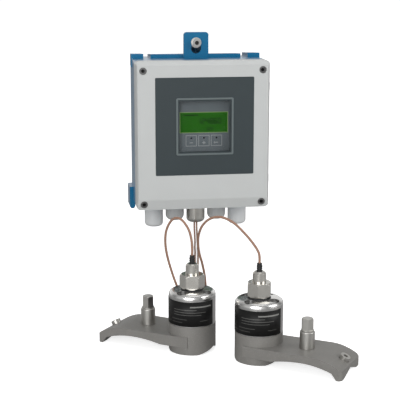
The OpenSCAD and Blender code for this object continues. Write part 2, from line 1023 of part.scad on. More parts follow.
module arm_side() {
    polygon(concat(
        [[-arm_back, arch_near_z], [-arm_back, arm_top]],
        [for (s = spread(crest_s, arm_reach, arm_steps)) [s, arm_z(s)]],
        [[arm_reach, 0], [arm_reach - foot_w, 0]],
        [for (s = spread(arm_reach - foot_w - heel_w, sensor_r, 2 * arm_steps)) [s, arch(s)]]
    ));
}

module arm_plan() {
    polygon([
        [-arm_back, -arm_half_near], [arm_reach - arm_corner, -arm_half_far],
        [arm_reach, arm_corner - arm_half_far], [arm_reach, arm_half_far - arm_corner],
        [arm_reach - arm_corner, arm_half_far], [-arm_back, arm_half_near]
    ]);
}

// Puts z = 0 on the arm's sloping tip, square to it
module at_lock_screw() {
    s = arm_reach - lock_s_inset;
    slope = 2 * (arm_top - tip_h) * (s - crest_s) / pow(arm_reach - crest_s, 2);
    translate([s, 0, arm_z(s)]) rotate([0, atan(slope), 0]) translate([0, 0, -lock_sink]) children();
}

module holder() {
    color([0.52, 0.51, 0.49]) difference() {
        union() {
            cylinder(h = cup_h, r = sensor_r);
            intersection() {
                along_y(2 * arm_half_far) arm_side();
                linear_extrude(arm_top) arm_plan();
            }
        }
        translate([0, 0, -overrun]) cylinder(h = cup_h + 2 * overrun, r = body_r + play);
        along_x(4 * arm_reach) polygon([
            [-saddle_half, -overrun], [-saddle_half, 0], [0, saddle_h],
            [saddle_half, 0], [saddle_half, -overrun]
        ]);
        translate([strap_reach, 0, 0]) cylinder(h = arm_top + overrun, r = bush_spigot_r + play);
        at_lock_screw() {
            cylinder(h = lock_head_h + arm_top, r = lock_head_r + part_gap);
            translate([0, 0, -lock_depth]) cylinder(h = lock_depth + overrun, r = lock_r + play);
        }
    }
}

module holder_left() {
    at_left_arm() holder();
}

module holder_right() {
    at_right_arm() holder();
}

// Crystal body that fills the cup and the sleeve
module transducer() {
    color([0.3, 0.3, 0.32]) translate([0, 0, saddle_h + pad_t])
        cylinder(h = body_top - saddle_h - pad_t, r = body_r);
}

module transducer_left() {
    at_left() transducer();
}

module transducer_right() {
    at_right() transducer();
}

module sleeve() {
    color([0.72, 0.72, 0.7]) translate([0, 0, cup_h]) difference() {
        cylinder(h = sleeve_top - cup_h, r = sleeve_r);
        translate([0, 0, -overrun]) cylinder(h = sleeve_top, r = body_r + play);
    }
}

module sleeve_left() {
    at_left() sleeve();
}

module sleeve_right() {
    at_right() sleeve();
}

// Point on the cap's rounded shoulder, from the sleeve's rim at 0 to the crown at 90 degrees
function shoulder(turn) = [
    sleeve_r - shoulder_w * (1 - cos(turn)),
    sleeve_top + shoulder_h * sin(turn)
];

// Polished cap that closes the sleeve, with round wrench pockets in its shoulder
module cap() {
    color([0.85, 0.85, 0.85]) rotate([0, 0, cap_turn]) difference() {
        rotate_extrude() polygon(concat(
            [[0, body_top], [body_r, body_top], [body_r, sleeve_top]],
            [for (turn = spread(0, 90, shoulder_steps)) shoulder(turn)],
            [[ring_out_r, cap_top], [0, cap_top]]
        ));
        for (index = [1:pocket_count]) rotate([0, 0, index * 360 / pocket_count])
            translate([pocket_ring, 0, cap_top - pocket_depth])
                cylinder(h = pocket_depth + overrun, r = pocket_r);
    }
}

module cap_left() {
    at_left() cap();
}

module cap_right() {
    at_right() cap();
}

// Threaded connector inside the union nut, with the shoulder that the nut pulls down
module connector() {
    color([0.6, 0.6, 0.58]) translate([0, 0, cap_top])
        cylinder(h = collar_z - cap_top, r = connector_r);
}

module connector_left() {
    at_left() connector();
}

module connector_right() {
    at_right() connector();
}

module union_nut(turn) {
    corner_r = union_af / sqrt(3);
    low_r = corner_r - union_chamfer;
    color([0.72, 0.7, 0.67]) translate([0, 0, union_z]) rotate([0, 0, turn]) difference() {
        intersection() {
            linear_extrude(union_h) hexagon(union_af);
            rotate_extrude() polygon([
                [0, 0], [low_r, 0], [corner_r, union_chamfer], [corner_r, union_h - union_chamfer],
                [low_r, union_h], [0, union_h]
            ]);
        }
        translate([0, 0, -overrun])
            cylinder(h = union_h - union_lip + overrun, r = connector_r + running_fit);
        cylinder(h = union_h + overrun, r = gland_stem_r + running_fit);
    }
}

module union_nut_left() {
    at_left() union_nut(left_nut_turn);
}

module union_nut_right() {
    at_right() union_nut(right_nut_turn);
}

// Small cable gland: the collar under the nut's lip, the stem through it and the cap above
module cable_gland() {
    color([0.8, 0.8, 0.8]) {
        translate([0, 0, collar_z]) {
            cylinder(h = collar_h, r = connector_r - play);
            cylinder(h = union_top + gland_low_h - collar_z, r = gland_stem_r);
        }
        translate([0, 0, union_top + gland_low_h]) rotate_extrude() polygon([
            [0, 0], [gland_stem_r, 0], [gland_stem_r, gland_high_h - gland_cone],
            [gland_top_r, gland_high_h], [0, gland_high_h]
        ]);
    }
}

module cable_gland_left() {
    at_left() cable_gland();
}

module cable_gland_right() {
    at_right() cable_gland();
}

module both_sensors() {
    at_left() children();
    at_right() children();
}

module both_arms() {
    at_left_arm() children();
    at_right_arm() children();
}

module coupling_pads() {
    color("black") both_sensors() translate([0, 0, saddle_h]) cylinder(h = pad_t, r = pad_r);
}

module sleeve_rings() {
    color("black") both_sensors() translate([0, 0, cap_top]) difference() {
        cylinder(h = sleeve_top + ring_height - cap_top, r = ring_out_r);
        translate([0, 0, -overrun]) cylinder(h = sleeve_top + ring_height, r = connector_r + play);
    }
}

module sensor_labels() {
    color([0.1, 0.1, 0.1]) both_sensors() rotate([0, 0, label_from - label_span])
        rotate_extrude(angle = label_span) translate([sleeve_r + running_fit, label_low])
            square([label_t, label_high - label_low]);
}

module cable_seals() {
    color("black") both_sensors() translate([0, 0, seal_z]) {
        cylinder(h = seal_h, r = seal_r - seal_rib);
        for (index = [0:seal_ribs - 1]) translate([0, 0, index * seal_rib_pitch])
            cylinder(h = seal_rib_h, r = seal_r);
    }
}

module strap_bushes() {
    color([0.62, 0.61, 0.57]) both_arms() translate([strap_reach, 0, 0]) difference() {
        rotate_extrude() polygon([
            [0, arch_z], [bush_spigot_r, arch_z], [bush_spigot_r, arm_top], [bush_r, arm_top],
            [bush_r, arm_top + bush_h - bush_chamfer], [bush_r - bush_chamfer, arm_top + bush_h],
            [0, arm_top + bush_h]
        ]);
        cylinder(h = arm_top + bush_h + overrun, r = strap_r + running_fit);
    }
}

// Clamping bolt for the strap, turned by its long hexagon head
module strap_bolt() {
    head_z = arm_top + bush_h + play;
    corner_r = strap_af / sqrt(3);
    color([0.66, 0.65, 0.63]) translate([strap_reach, 0, 0]) {
        translate([0, 0, strap_tip]) cylinder(h = head_z - strap_tip, r = strap_r);
        translate([0, 0, head_z]) {
            cylinder(h = strap_collar_h, r = strap_collar_r);
            intersection() {
                linear_extrude(strap_head_h + strap_collar_h) hexagon(strap_af);
                rotate_extrude() polygon([
                    [0, 0], [corner_r, 0], [corner_r, strap_head_h + strap_collar_h - strap_chamfer],
                    [corner_r - strap_chamfer, strap_head_h + strap_collar_h],
                    [0, strap_head_h + strap_collar_h]
                ]);
            }
        }
    }
}

module strap_bolt_left() {
    at_left_arm() strap_bolt();
}

module strap_bolt_right() {
    at_right_arm() strap_bolt();
}

module lock_screws() {
    color([0.7, 0.7, 0.7]) both_arms() at_lock_screw() difference() {
        union() {
            cylinder(h = lock_head_h, r = lock_head_r);
            translate([0, 0, lock_tip_gap - lock_depth]) cylinder(h = lock_depth, r = lock_r);
        }
        translate([0, 0, lock_head_h / 2]) linear_extrude(lock_head_h) hexagon(lock_socket);
    }
}

// Cables: a smooth curve through the route's points, swept by a ring that turns as little as it can

function bend(a, b, c, d, t) =
    ((2 * b) + (c - a) * t + (2 * a - 5 * b + 4 * c - d) * t * t + (3 * b - a - 3 * c + d) * t * t * t) / 2;

function smooth_route(route, cuts) = concat(
    [for (i = [0:len(route) - 2]) for (k = [0:cuts - 1])
        bend(route[max(i - 1, 0)], route[i], route[i + 1], route[min(i + 2, len(route) - 1)], k / cuts)],
    [route[len(route) - 1]]
);

function unit(v) = v / norm(v);

function heading(points, i) =
    let (last = len(points) - 1)
    i == 0 ? unit(points[1] - points[0])
    : i == last ? unit(points[last] - points[last - 1])
    : unit(points[i + 1] - points[i - 1]);

function carried(side, along) = unit(side - (side * along) * along);

function sides_along(points, i = 0, side = [1, 0, 0]) =
    i == len(points) ? []
    : let (next = carried(side, heading(points, i))) concat([next], sides_along(points, i + 1, next));

function route_length(points) =
    [for (i = [1:len(points) - 1]) norm(points[i] - points[i - 1])] * [for (i = [1:len(points) - 1]) 1];

module cord(route) {
    points = smooth_route(route, cable_cuts);
    sides = sides_along(points);
    count = len(points);
    rings = [for (i = [0:count - 1]) for (k = [0:cable_sides - 1])
        let (along = heading(points, i), turn = k * 360 / cable_sides)
            points[i] + cable_d / 2 * (cos(turn) * sides[i] + sin(turn) * cross(along, sides[i]))];
    skin = [for (i = [0:count - 2]) for (k = [0:cable_sides - 1])
        let (a = i * cable_sides + k, b = i * cable_sides + (k + 1) % cable_sides)
            each [[a, b + cable_sides, b], [a, a + cable_sides, b + cable_sides]]];
    ends = [
        [for (k = [0:cable_sides - 1]) k],
        [for (k = [cable_sides - 1:-1:0]) (count - 1) * cable_sides + k]
    ];
    echo(cable_length = route_length(points), rings = count);
    polyhedron(rings, concat(skin, ends));
}

module cable_left() {
    color([0.55, 0.35, 0.26]) cord(left_route);
}

module cable_right() {
    color([0.55, 0.35, 0.26]) cord(right_route);
}

rear_housing();
wall_bolt();
bolt_washer();
front_cover();
cover_seal();
hinge_pins();
cover_screws();
front_panel();
window_frame();
window_liner();
window_glass();
display_carrier();
lcd_screen();
lcd_rim();
key_frames();
display_board();
board_spacers();
base_plate();
standoffs();
power_board();
transformer();
fuse();
amplifier_board();
shield_can();
io_board();
terminal_blocks();
sensor_leads();
gland_rings();
gland_locknuts();
gland_bodies();
gland_nuts();
gland_inserts();
blanking_plugs();
sensor_gland_body();
sensor_gland_nut();
sensor_gland_insert();
holder_left();
transducer_left();
sleeve_left();
cap_left();
connector_left();
union_nut_left();
cable_gland_left();
strap_bolt_left();
holder_right();
transducer_right();
sleeve_right();
cap_right();
connector_right();
union_nut_right();
cable_gland_right();
strap_bolt_right();
coupling_pads();
sleeve_rings();
sensor_labels();
cable_seals();
strap_bushes();
lock_screws();
cable_left();
cable_right();
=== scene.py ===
"""Finishes, fine details, cables and stage of a clamp-on ultrasonic flow meter, laid out as an add-on."""
import json
import math

import bmesh
import bpy
from bpy.props import FloatProperty, FloatVectorProperty, PointerProperty
from mathutils import Matrix, Vector


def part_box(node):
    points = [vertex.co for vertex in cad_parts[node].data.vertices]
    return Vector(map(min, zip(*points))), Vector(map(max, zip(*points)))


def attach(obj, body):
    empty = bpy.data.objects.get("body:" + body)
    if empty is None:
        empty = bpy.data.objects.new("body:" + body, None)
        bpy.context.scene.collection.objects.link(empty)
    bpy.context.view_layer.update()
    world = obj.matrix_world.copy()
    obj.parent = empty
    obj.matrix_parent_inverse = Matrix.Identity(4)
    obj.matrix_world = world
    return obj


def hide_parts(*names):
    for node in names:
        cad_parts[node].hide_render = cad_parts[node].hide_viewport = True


bl_info = {
    "name": "Ultrasonic Flow Meter",
    "version": (1, 0, 0),
    "blender": (4, 5, 0),
    "location": "3D View > Sidebar > Flow Meter",
    "description": "Dresses the packed flow meter with finishes, details, cables and a stage",
    "category": "Object",
}

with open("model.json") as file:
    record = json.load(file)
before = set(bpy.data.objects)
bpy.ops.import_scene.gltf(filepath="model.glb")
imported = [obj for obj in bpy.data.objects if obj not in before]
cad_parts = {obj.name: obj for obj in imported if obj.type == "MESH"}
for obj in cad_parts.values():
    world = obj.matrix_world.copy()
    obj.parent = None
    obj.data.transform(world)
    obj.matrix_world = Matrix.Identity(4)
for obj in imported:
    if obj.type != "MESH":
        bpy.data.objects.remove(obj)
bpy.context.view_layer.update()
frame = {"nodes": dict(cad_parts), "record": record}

MM = 0.001
SIDES = ("left", "right")

# Camera: its place, degrees that it looks down and to the right, lens and sensor in millimetres,
# and how far it reaches
CAMERA_PLACE = (-0.2622, -1.8495, 0.2571)
CAMERA_DOWN = 11.79
CAMERA_RIGHT = 8.51
CAMERA_LENS = 99
CAMERA_SENSOR = 36
CAMERA_REACH = 30

# Routes of the sensor cables, in metres, from the middle gland to the seals on the sensors
CABLE_ROUTES = {
    "left": (
        (-.002, -.045, -.160), (-.002, -.045, -.170), (-.002, -.049, -.182), (-.003, -.060, -.192),
        (-.006, -.078, -.198), (-.010, -.109, -.198), (-.016, -.149, -.198), (-.028, -.235, -.198),
        (-.044, -.345, -.198), (-.055, -.420, -.198), (-.061, -.457, -.198), (-.065, -.480, -.194),
        (-.071, -.496, -.182), (-.079, -.505, -.166), (-.087, -.510, -.148), (-.094, -.514, -.130),
        (-.100, -.518, -.112), (-.105, -.523, -.094), (-.108, -.528, -.077), (-.108, -.534, -.060),
        (-.104, -.542, -.046), (-.098, -.549, -.039), (-.091, -.557, -.040), (-.084, -.564, -.050),
        (-.081, -.566, -.061), (-.080, -.567, -.071), (-.080, -.567, -.082),
    ),
    "right": (
        (.002, -.045, -.160), (.002, -.045, -.170), (.002, -.049, -.182), (.001, -.060, -.192),
        (-.001, -.078, -.198), (-.005, -.109, -.198), (-.011, -.149, -.198), (-.024, -.235, -.198),
        (-.040, -.345, -.198), (-.051, -.420, -.198), (-.056, -.455, -.198), (-.057, -.477, -.193),
        (-.055, -.494, -.180), (-.053, -.503, -.161), (-.054, -.508, -.143), (-.056, -.513, -.125),
        (-.060, -.519, -.107), (-.065, -.527, -.091), (-.068, -.536, -.077), (-.069, -.547, -.062),
        (-.066, -.559, -.047), (-.058, -.571, -.036), (-.047, -.583, -.032), (-.035, -.595, -.036),
        (-.024, -.604, -.046), (-.014, -.611, -.058), (-.007, -.614, -.070), (-.006, -.614, -.082),
    ),
}
ROUTE_CUTS = 8
CABLE_ROUNDNESS = 4

# Wrench pockets in the sensors' caps: circle of their centres, radius, and degrees past the diagonals
POCKET_RING = 20.5 * MM
POCKET_R = 6.5 * MM
POCKET_TURN = 1

# Radius of the heads of the cover screws and the wall bolt, and of the recesses in them
COVER_SCREW_HEAD = 5.6 * MM
COVER_SCREW_RECESS = 2.9 * MM
WALL_BOLT_HEAD = 6.5 * MM
WALL_BOLT_RECESS = 3.5 * MM

# Label bands: place outside the sleeve, thickness, and the degrees round the sleeve that they cover
LABEL_OUT = 0.45 * MM
LABEL_T = 0.4 * MM
LABEL_FROM = -260
LABEL_TO = -40
LABEL_STEPS = 88

# The bright bar on a label: how far up and along it lies, in millimetres
LABEL_BAR_UP = (23.8, 25.4)
LABEL_BAR_ALONG = (80, 108)

# Ruled lines on a sensor's label: height, start and end in millimetres
LABEL_LINES = (
    (20.4, 58, 88), (17.2, 58, 100), (14.0, 58, 94), (20.4, 12, 46), (14.0, 12, 40),
    (8.4, 54, 76), (4.6, 54, 70), (8.4, 12, 46), (4.6, 12, 52), (6.5, 92, 104),
)
LABEL_LINE_TONE = 0.45

# Widths of the rounded edges of small parts, and the segments across them
FINE_EDGES = {
    "bolt_washer": (0.2 * MM, 2),
    "cover_screws": (0.25 * MM, 2),
    "window_frame": (0.15 * MM, 2),
    "shield_can": (0.6 * MM, 3),
    "transformer": (0.8 * MM, 3),
    "terminal_blocks": (0.4 * MM, 2),
    "lock_screws": (0.4 * MM, 2),
}

# Points closer than this gap are joined, and edges sharper than this many degrees are rounded
WELD_GAP = 0.002 * MM
SHARP_ANGLE = 35

# Colours that a user wouldn't change
WHITE_PLASTIC = (0.78, 0.78, 0.75)
BLACK_PLASTIC = (0.022, 0.022, 0.025)
TERMINAL_GREEN = (0.05, 0.27, 0.11)
ZINC = (0.56, 0.55, 0.52)
COVER_SCREW_STEEL = (0.20, 0.20, 0.20)
WALL_BOLT_STEEL = (0.52, 0.52, 0.51)
KEY_PRINT = (0.34, 0.36, 0.37)
KEY_LENS = (0.012, 0.012, 0.016)
RUBBER = (0.014, 0.014, 0.015)
GLASS = (0.03, 0.035, 0.04)
SOLDER_MASK = (0.012, 0.110, 0.045)
TIN = (0.6, 0.6, 0.56)
LACQUERED_WIRE = (0.36, 0.20, 0.06)
# Painted shade in the grooves between the rows of transformer wire
WIRE_GAP_SHADE = (0.12, 0.07, 0.03)

# Sockets of a Mix node that mixes colours
MIX_FIRST = 6
MIX_SECOND = 7
MIX_RESULT = 2


# Settings that a user would change

def colour(name, description, default):
    return FloatVectorProperty(
        name=name, description=description, default=default,
        size=3, subtype="COLOR", min=0.0, max=1.0,
    )


def length(name, description, default):
    return FloatProperty(
        name=name, description=description, default=default,
        min=0.0, subtype="DISTANCE", unit="LENGTH",
    )


class FlowMeterColours(bpy.types.PropertyGroup):
    """Colours of the meter's finishes."""

    housing: colour("Housing", "Paint of the rear housing", (0.001, 0.142, 0.300))
    cover: colour("Cover", "Paint of the front cover", (0.560, 0.575, 0.570))
    panel: colour("Panel", "Foil of the front panel", (0.027, 0.040, 0.045))
    trim: colour("Trim", "Frame of the window", (0.120, 0.148, 0.152))
    plate: colour("Display plate", "Plate round the display", (0.125, 0.150, 0.163))
    display: colour("Display", "Face of the display", (0.012, 0.103, 0.001))
    display_rim: colour("Display rim", "Light rim of the display", (0.200, 0.300, 0.110))
    glands: colour("Glands", "Plastic of the cable glands", (0.700, 0.710, 0.710))
    plugs: colour("Plugs", "Plastic of the blanking plugs", (0.560, 0.560, 0.550))
    holder: colour("Holders", "Paint of the cast sensor holders", (0.215, 0.208, 0.195))
    nickel: colour("Nickel", "Plated nuts and glands of the sensors", (0.700, 0.680, 0.635))
    cap: colour("Caps", "Polished caps of the sensors", (0.780, 0.775, 0.760))
    steel: colour("Steel", "Turned sensor sleeves", (0.560, 0.555, 0.545))
    label: colour("Label", "Ground of the sensor labels", (0.006, 0.006, 0.006))
    print_grey: colour("Label print", "Ruled fields on the sensor labels", (0.200, 0.200, 0.190))
    cable: colour("Cables", "Jacket of the sensor cables", (0.340, 0.205, 0.150))


class FlowMeterSizes(bpy.types.PropertyGroup):
    """Sizes of the fine details."""

    cable_d: length("Cable diameter", "Diameter of the sensor cables", 3 * MM)
    cast_edge: length("Cast edge", "Width of the rounded edges of castings", 1.2 * MM)
    turned_edge: length("Turned edge", "Width of the broken edges of turned parts", 0.4 * MM)
    digit_h: length("Digit height", "Height of the large digits on the display", 8.5 * MM)
    rule: length("Rule", "Width of the ruled lines on the labels", 0.7 * MM)


class FlowMeterStage(bpy.types.PropertyGroup):
    """Floor and lights."""

    floor: colour("Floor", "Colour of the floor", (0.900, 0.900, 0.900))
    key_power: FloatProperty(
        name="Key light", description="Power of the large light at the front left",
        default=42.0, min=0.0, unit="POWER",
    )
    top_power: FloatProperty(
        name="Top light", description="Power of the light above",
        default=4.0, min=0.0, unit="POWER",
    )
    sky: FloatProperty(
        name="Sky", description="Strength of the light from all round", default=0.6, min=0.0,
    )


# Shader nodes

class Wire:
    """A node's output. Sums with numbers and other wires add the Math nodes that they need."""

    def __init__(self, tree, socket):
        self.tree = tree
        self.socket = socket

    def maths(self, operation, *terms):
        return self.tree.node("ShaderNodeMath", {"operation": operation}, dict(enumerate(terms)))

    def __add__(self, other):
        return self.maths("ADD", self, other)

    def __sub__(self, other):
        return self.maths("SUBTRACT", self, other)

    def __rsub__(self, other):
        return self.maths("SUBTRACT", other, self)

    def __mul__(self, other):
        return self.maths("MULTIPLY", self, other)

    def __gt__(self, other):
        return self.maths("GREATER_THAN", self, other)

    def __lt__(self, other):
        return self.maths("LESS_THAN", self, other)

    def __pow__(self, other):
        return self.maths("POWER", self, other)

    def __abs__(self):
        return self.maths("ABSOLUTE", self)

    __radd__ = __add__
    __rmul__ = __mul__

    def between(self, low, high):
        """Goes from low to high as the wire goes from 0 to 1."""
        return low + (high - low) * self

    def within(self, low, high):
        return (self > low) * (self < high)

    def fraction(self):
        return self.maths("FRACT", self)


class Tree:
    """A node tree in the making, of a material or of the world."""

    def __init__(self, owner):
        owner.use_nodes = True
        self.nodes = owner.node_tree.nodes
        self.links = owner.node_tree.links
        self.nodes.clear()

    def node(self, kind, settings=None, sockets=None, output=0):
        """Adds a node with its settings set first, then its sockets, and returns one of its outputs."""
        made = self.nodes.new(kind)
        for key, value in (settings or {}).items():
            setattr(made, key, value)
        for key, value in (sockets or {}).items():
            if isinstance(value, Wire):
                self.links.new(value.socket, made.inputs[key])
            else:
                made.inputs[key].default_value = value
        return Wire(self, made.outputs[output]) if made.outputs else None

    def vector(self, operation, first, second=(0, 0, 0), output=0):
        return self.node("ShaderNodeVectorMath", {"operation": operation}, {0: first, 1: second}, output)

    def part(self, vector, axis):
        """One coordinate of a vector."""
        return self.node("ShaderNodeSeparateXYZ", {}, {0: vector}, axis)

    def place(self, stretch=(1, 1, 1)):
        """The place on the piece in metres, stretched along the axes."""
        return self.vector("MULTIPLY", self.node("ShaderNodeTexCoord", output="Object"), stretch)

    def noise(self, size, stretch=(1, 1, 1), detail=2.0):
        """Soft noise from 0 to 1 with patches about size across."""
        return self.node("ShaderNodeTexNoise", {},
                         {"Vector": self.place(stretch), "Scale": 1 / size, "Detail": detail})

    def mix(self, factor, first, second):
        return self.node("ShaderNodeMix", {"data_type": "RGBA"},
                         {0: factor, MIX_FIRST: solid(first), MIX_SECOND: solid(second)}, MIX_RESULT)

    def tone(self, factor, rgb, first, second):
        """A colour that goes from one shade of itself to another."""
        return self.mix(factor, shade(rgb, first), shade(rgb, second))

    def step(self, value, low, high, to_low=0.0, to_high=1.0):
        """A smooth step of value from low to high."""
        return self.node("ShaderNodeMapRange", {"interpolation_type": "SMOOTHSTEP"},
                         {"Value": value, "From Min": low, "From Max": high,
                          "To Min": to_low, "To Max": to_high})

    def bump(self, height, depth, strength):
        return self.node("ShaderNodeBump", {},
                         {"Height": height, "Distance": depth, "Strength": strength})

    def surface(self, sockets):
        shader = self.node("ShaderNodeBsdfPrincipled", {}, sockets)
        self.node("ShaderNodeOutputMaterial", {}, {"Surface": shader})


def solid(value):
    """A colour of three numbers with its alpha, or a wire as it is."""
    return value if isinstance(value, Wire) else (*value, 1.0)


def shade(rgb, factor):
    return tuple(min(1.0, part * factor) for part in rgb)


def grey(level):
    return (level, level, level)


def squared_distance(parts):
    return parts[0] * parts[0] + parts[1] * parts[1]


def colours():
    return bpy.context.scene.flow_meter_colours


def sizes():
    return bpy.context.scene.flow_meter_sizes


# Finishes. Each function paints one material.

def painted(tree, rgb, roughness, coat):
    """Powder paint: fine orange peel, and a tone that drifts a little."""
    speck = tree.noise(0.5 * MM, detail=3)
    drift = tree.tone(tree.noise(45 * MM), rgb, 0.965, 1.035)
    tree.surface({
        "Base Color": tree.mix(speck > 0.62, drift, shade(rgb, 0.94)),
        "Roughness": speck.between(roughness - 0.03, roughness + 0.03),
        "Normal": tree.bump(tree.noise(0.9 * MM), 0.02 * MM, 0.6),
        "Specular IOR Level": 0.3,
        "Coat Weight": coat,
        "Coat Roughness": 0.12,
    })


def moulded(tree, rgb, roughness=0.5, depth=0.01 * MM):
    """Moulded plastic with a fine spark-eroded grain."""
    grain = tree.noise(0.35 * MM, detail=3)
    tree.surface({
        "Base Color": tree.tone(tree.noise(20 * MM), rgb, 0.94, 1.05),
        "Roughness": grain.between(roughness - 0.05, roughness + 0.05),
        "Normal": tree.bump(grain, depth, 0.7),
    })


def plated(tree, rgb, roughness, stretch=(1, 1, 12)):
    """Plated or turned metal: faint tool marks and slight clouds in the gloss."""
    marks = tree.noise(1.6 * MM, stretch, 3)
    clouds = tree.noise(6 * MM)
    tree.surface({
        "Base Color": tree.tone(clouds, rgb, 0.86, 1.04),
        "Metallic": 1.0,
        "Roughness": clouds.between(roughness, roughness + 0.08) + 0.04 * marks,
        "Normal": tree.bump(marks, 0.004 * MM, 0.5),
    })


def screw_heads(tree, rgb, name, head, recess):
    """Screws in the corners of a box, seen from the front, with painted shade in the recess of each head.
    """
    low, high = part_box(name)
    middle = (low + high) / 2
    reach = (high - low) / 2
    parts = []
    for axis in (0, 2):
        at = tree.part(tree.place(), axis) - middle[axis]
        parts.append(abs(at) - max(reach[axis] - head, 0.0))
    # Painted shade: the recess of each head is darkened to a tenth of the steel's colour
    outside_painted_shade = tree.step(squared_distance(parts), 0.7 * recess ** 2, 1.2 * recess ** 2)
    clouds = tree.noise(2 * MM)
    tree.surface({
        "Base Color": tree.mix(outside_painted_shade, shade(rgb, 0.1), tree.tone(clouds, rgb, 0.85, 1.05)),
        "Metallic": 1.0,
        "Roughness": clouds.between(0.28, 0.40),
        "Normal": tree.bump(clouds, 0.006 * MM, 0.6),
    })


def turned_cap(tree, rgb, centre):
    """A cap turned on a lathe, with fine rings about its axis, and wrench pockets that are duller and
    darkened with painted shade.
    """
    offset = tree.vector("SUBTRACT", tree.place(), (*centre, 0))
    turned = tree.node("ShaderNodeVectorRotate", {"rotation_type": "Z_AXIS"},
                       {"Vector": offset, "Angle": math.radians(-POCKET_TURN)})
    parts = [abs(tree.part(turned, axis)) - POCKET_RING * math.sqrt(0.5) for axis in "XY"]
    off = squared_distance(parts) ** 0.5
    pocket_dull_and_shade = tree.step(off, 0.9 * POCKET_R, 1.1 * POCKET_R, 1.0, 0.0)
    radius = tree.vector("LENGTH", tree.vector("MULTIPLY", offset, (1, 1, 0)), output="Value")
    rings = tree.node("ShaderNodeTexNoise", {"noise_dimensions": "1D"},
                      {"W": radius, "Scale": 1 / (0.5 * MM), "Detail": 2.0})
    # Painted shade: the wrench pockets are darkened to 0.15 of the cap's colour; their added roughness is
    # real dullness
    tree.surface({
        "Base Color": tree.mix(pocket_dull_and_shade, tree.tone(rings, rgb, 0.9, 1.05), shade(rgb, 0.15)),
        "Metallic": 1.0,
        "Roughness": rings.between(0.16, 0.26) + 0.25 * pocket_dull_and_shade,
        "Normal": tree.bump(rings, 0.006 * MM, 0.4),
    })


def cast(tree, rgb):
    """Painted casting: a pebbled skin under satin paint, with small pits."""
    skin = tree.noise(1.3 * MM, detail=4)
    pits = tree.node("ShaderNodeTexVoronoi", {}, {"Vector": tree.place(), "Scale": 1 / (2.6 * MM)})
    clouds = tree.tone(tree.noise(14 * MM, detail=3), rgb, 0.88, 1.1)
    tree.surface({
        "Base Color": tree.mix(skin > 0.6, clouds, shade(rgb, 1.12)),
        "Metallic": 0.15,
        "Roughness": skin.between(0.42, 0.58),
        "Normal": tree.bump(skin + 0.5 * tree.step(pits, 0.0, 0.16), 0.09 * MM, 0.8),
    })


def rubber(tree):
    """Black rubber with a little dust on it."""
    dust = tree.noise(2.2 * MM, detail=4)
    tree.surface({
        "Base Color": tree.tone(tree.step(dust, 0.5, 0.8), RUBBER, 1.0, 2.2),
        "Roughness": dust.between(0.55, 0.75),
        "Normal": tree.bump(tree.noise(0.5 * MM), 0.015 * MM, 0.6),
    })


def cover_glass(tree):
    """Clear window: almost all light passes, with a light gloss."""
    smear = tree.noise(30 * MM, detail=3)
    tree.surface({
        "Base Color": solid(GLASS),
        "Roughness": smear.between(0.06, 0.11),
        "Alpha": smear.between(0.06, 0.09),
        "IOR": 1.49,
    })


def display_face(tree):
    """The display's green face: a fine grid of cells, lit a little unevenly."""
    rgb = colours().display
    cell = 0.55 * MM
    gap_share = 0.14
    place = tree.place((1 / cell, 1, 1 / cell))
    across, up = (tree.part(place, axis).fraction() for axis in "XZ")
    gaps = across.within(0.0, gap_share) + up.within(0.0, gap_share)
    cloud = tree.noise(25 * MM)
    face = tree.mix(0.35 * gaps, tree.tone(cloud, rgb, 0.85, 1.2), shade(rgb, 0.5))
    tree.surface({
        "Base Color": face,
        "Roughness": cloud.between(0.3, 0.35),
        "Specular IOR Level": 0.1,
        "Emission Color": face,
        "Emission Strength": 0.3,
    })


def circuit(tree):
    """Solder mask over copper tracks, with tinned pads."""
    pitch = 2.5 * MM
    track_share = 0.35
    place = tree.place((1 / pitch, 1, 1 / pitch))
    across, up = (tree.part(place, axis).fraction() for axis in "XZ")
    region = tree.noise(13 * MM)
    tracks = (across < track_share) * (region > 0.52) + (up < track_share) * (region < 0.45)
    pads = tree.node("ShaderNodeTexVoronoi", {}, {"Vector": place, "Scale": 1.0, "Randomness": 0.35})
    tinned = (pads < 0.16) * tree.noise(9 * MM).within(0.42, 0.6)
    mask = tree.tone(tracks, SOLDER_MASK, 1.0, 1.7)
    tree.surface({
        "Base Color": tree.mix(tinned, mask, TIN),
        "Metallic": tinned,
        "Roughness": region.between(0.32, 0.42),
        "Normal": tree.bump(tracks, 0.03 * MM, 0.5),
    })


def wound(tree):
    """Transformer: rows of lacquered wire with painted shade in the gaps between them."""
    pitch = 0.9 * MM
    rows = (tree.part(tree.place(), "Z") * (1 / pitch)).fraction()
    tree.surface({
        "Base Color": tree.mix(rows < 0.25, LACQUERED_WIRE, WIRE_GAP_SHADE),
        "Metallic": 0.6,
        "Roughness": rows.between(0.34, 0.54),
        "Normal": tree.bump(rows, 0.1 * MM, 0.6),
    })


def sensor_label(tree):
    """Black foil with ruled empty fields, drawn from the band's own length and height."""
    line = sizes().rule / MM
    at = tree.node("ShaderNodeTexCoord", output="UV")
    along, up = (tree.part(at, axis) for axis in "XY")
    rules = up.within(*LABEL_BAR_UP) * along.within(*LABEL_BAR_ALONG)
    for low, start, end in LABEL_LINES:
        rules = LABEL_LINE_TONE * (up.within(low, low + line) * along.within(start, end)) + rules
    scuffs = tree.noise(3 * MM, detail=5)
    ground = tree.tone(scuffs, colours().label, 1.0, 2.0)
    tree.surface({
        "Base Color": tree.mix(rules, ground, colours().print_grey),
        "Roughness": scuffs.between(0.34, 0.50),
        "Normal": tree.bump(tree.noise(0.4 * MM), 0.006 * MM, 0.5),
        "Specular IOR Level": 0.2,
    })


def cable_jacket(tree):
    """Thin clear-brown jacket over a braid that shows through faintly."""
    weave = tree.noise(0.7 * MM)
    tree.surface({
        "Base Color": tree.tone(weave, colours().cable, 0.75, 1.25),
        "Roughness": weave.between(0.45, 0.55),
        "Normal": tree.bump(weave, 0.02 * MM, 0.6),
        "Specular IOR Level": 0.05,
    })


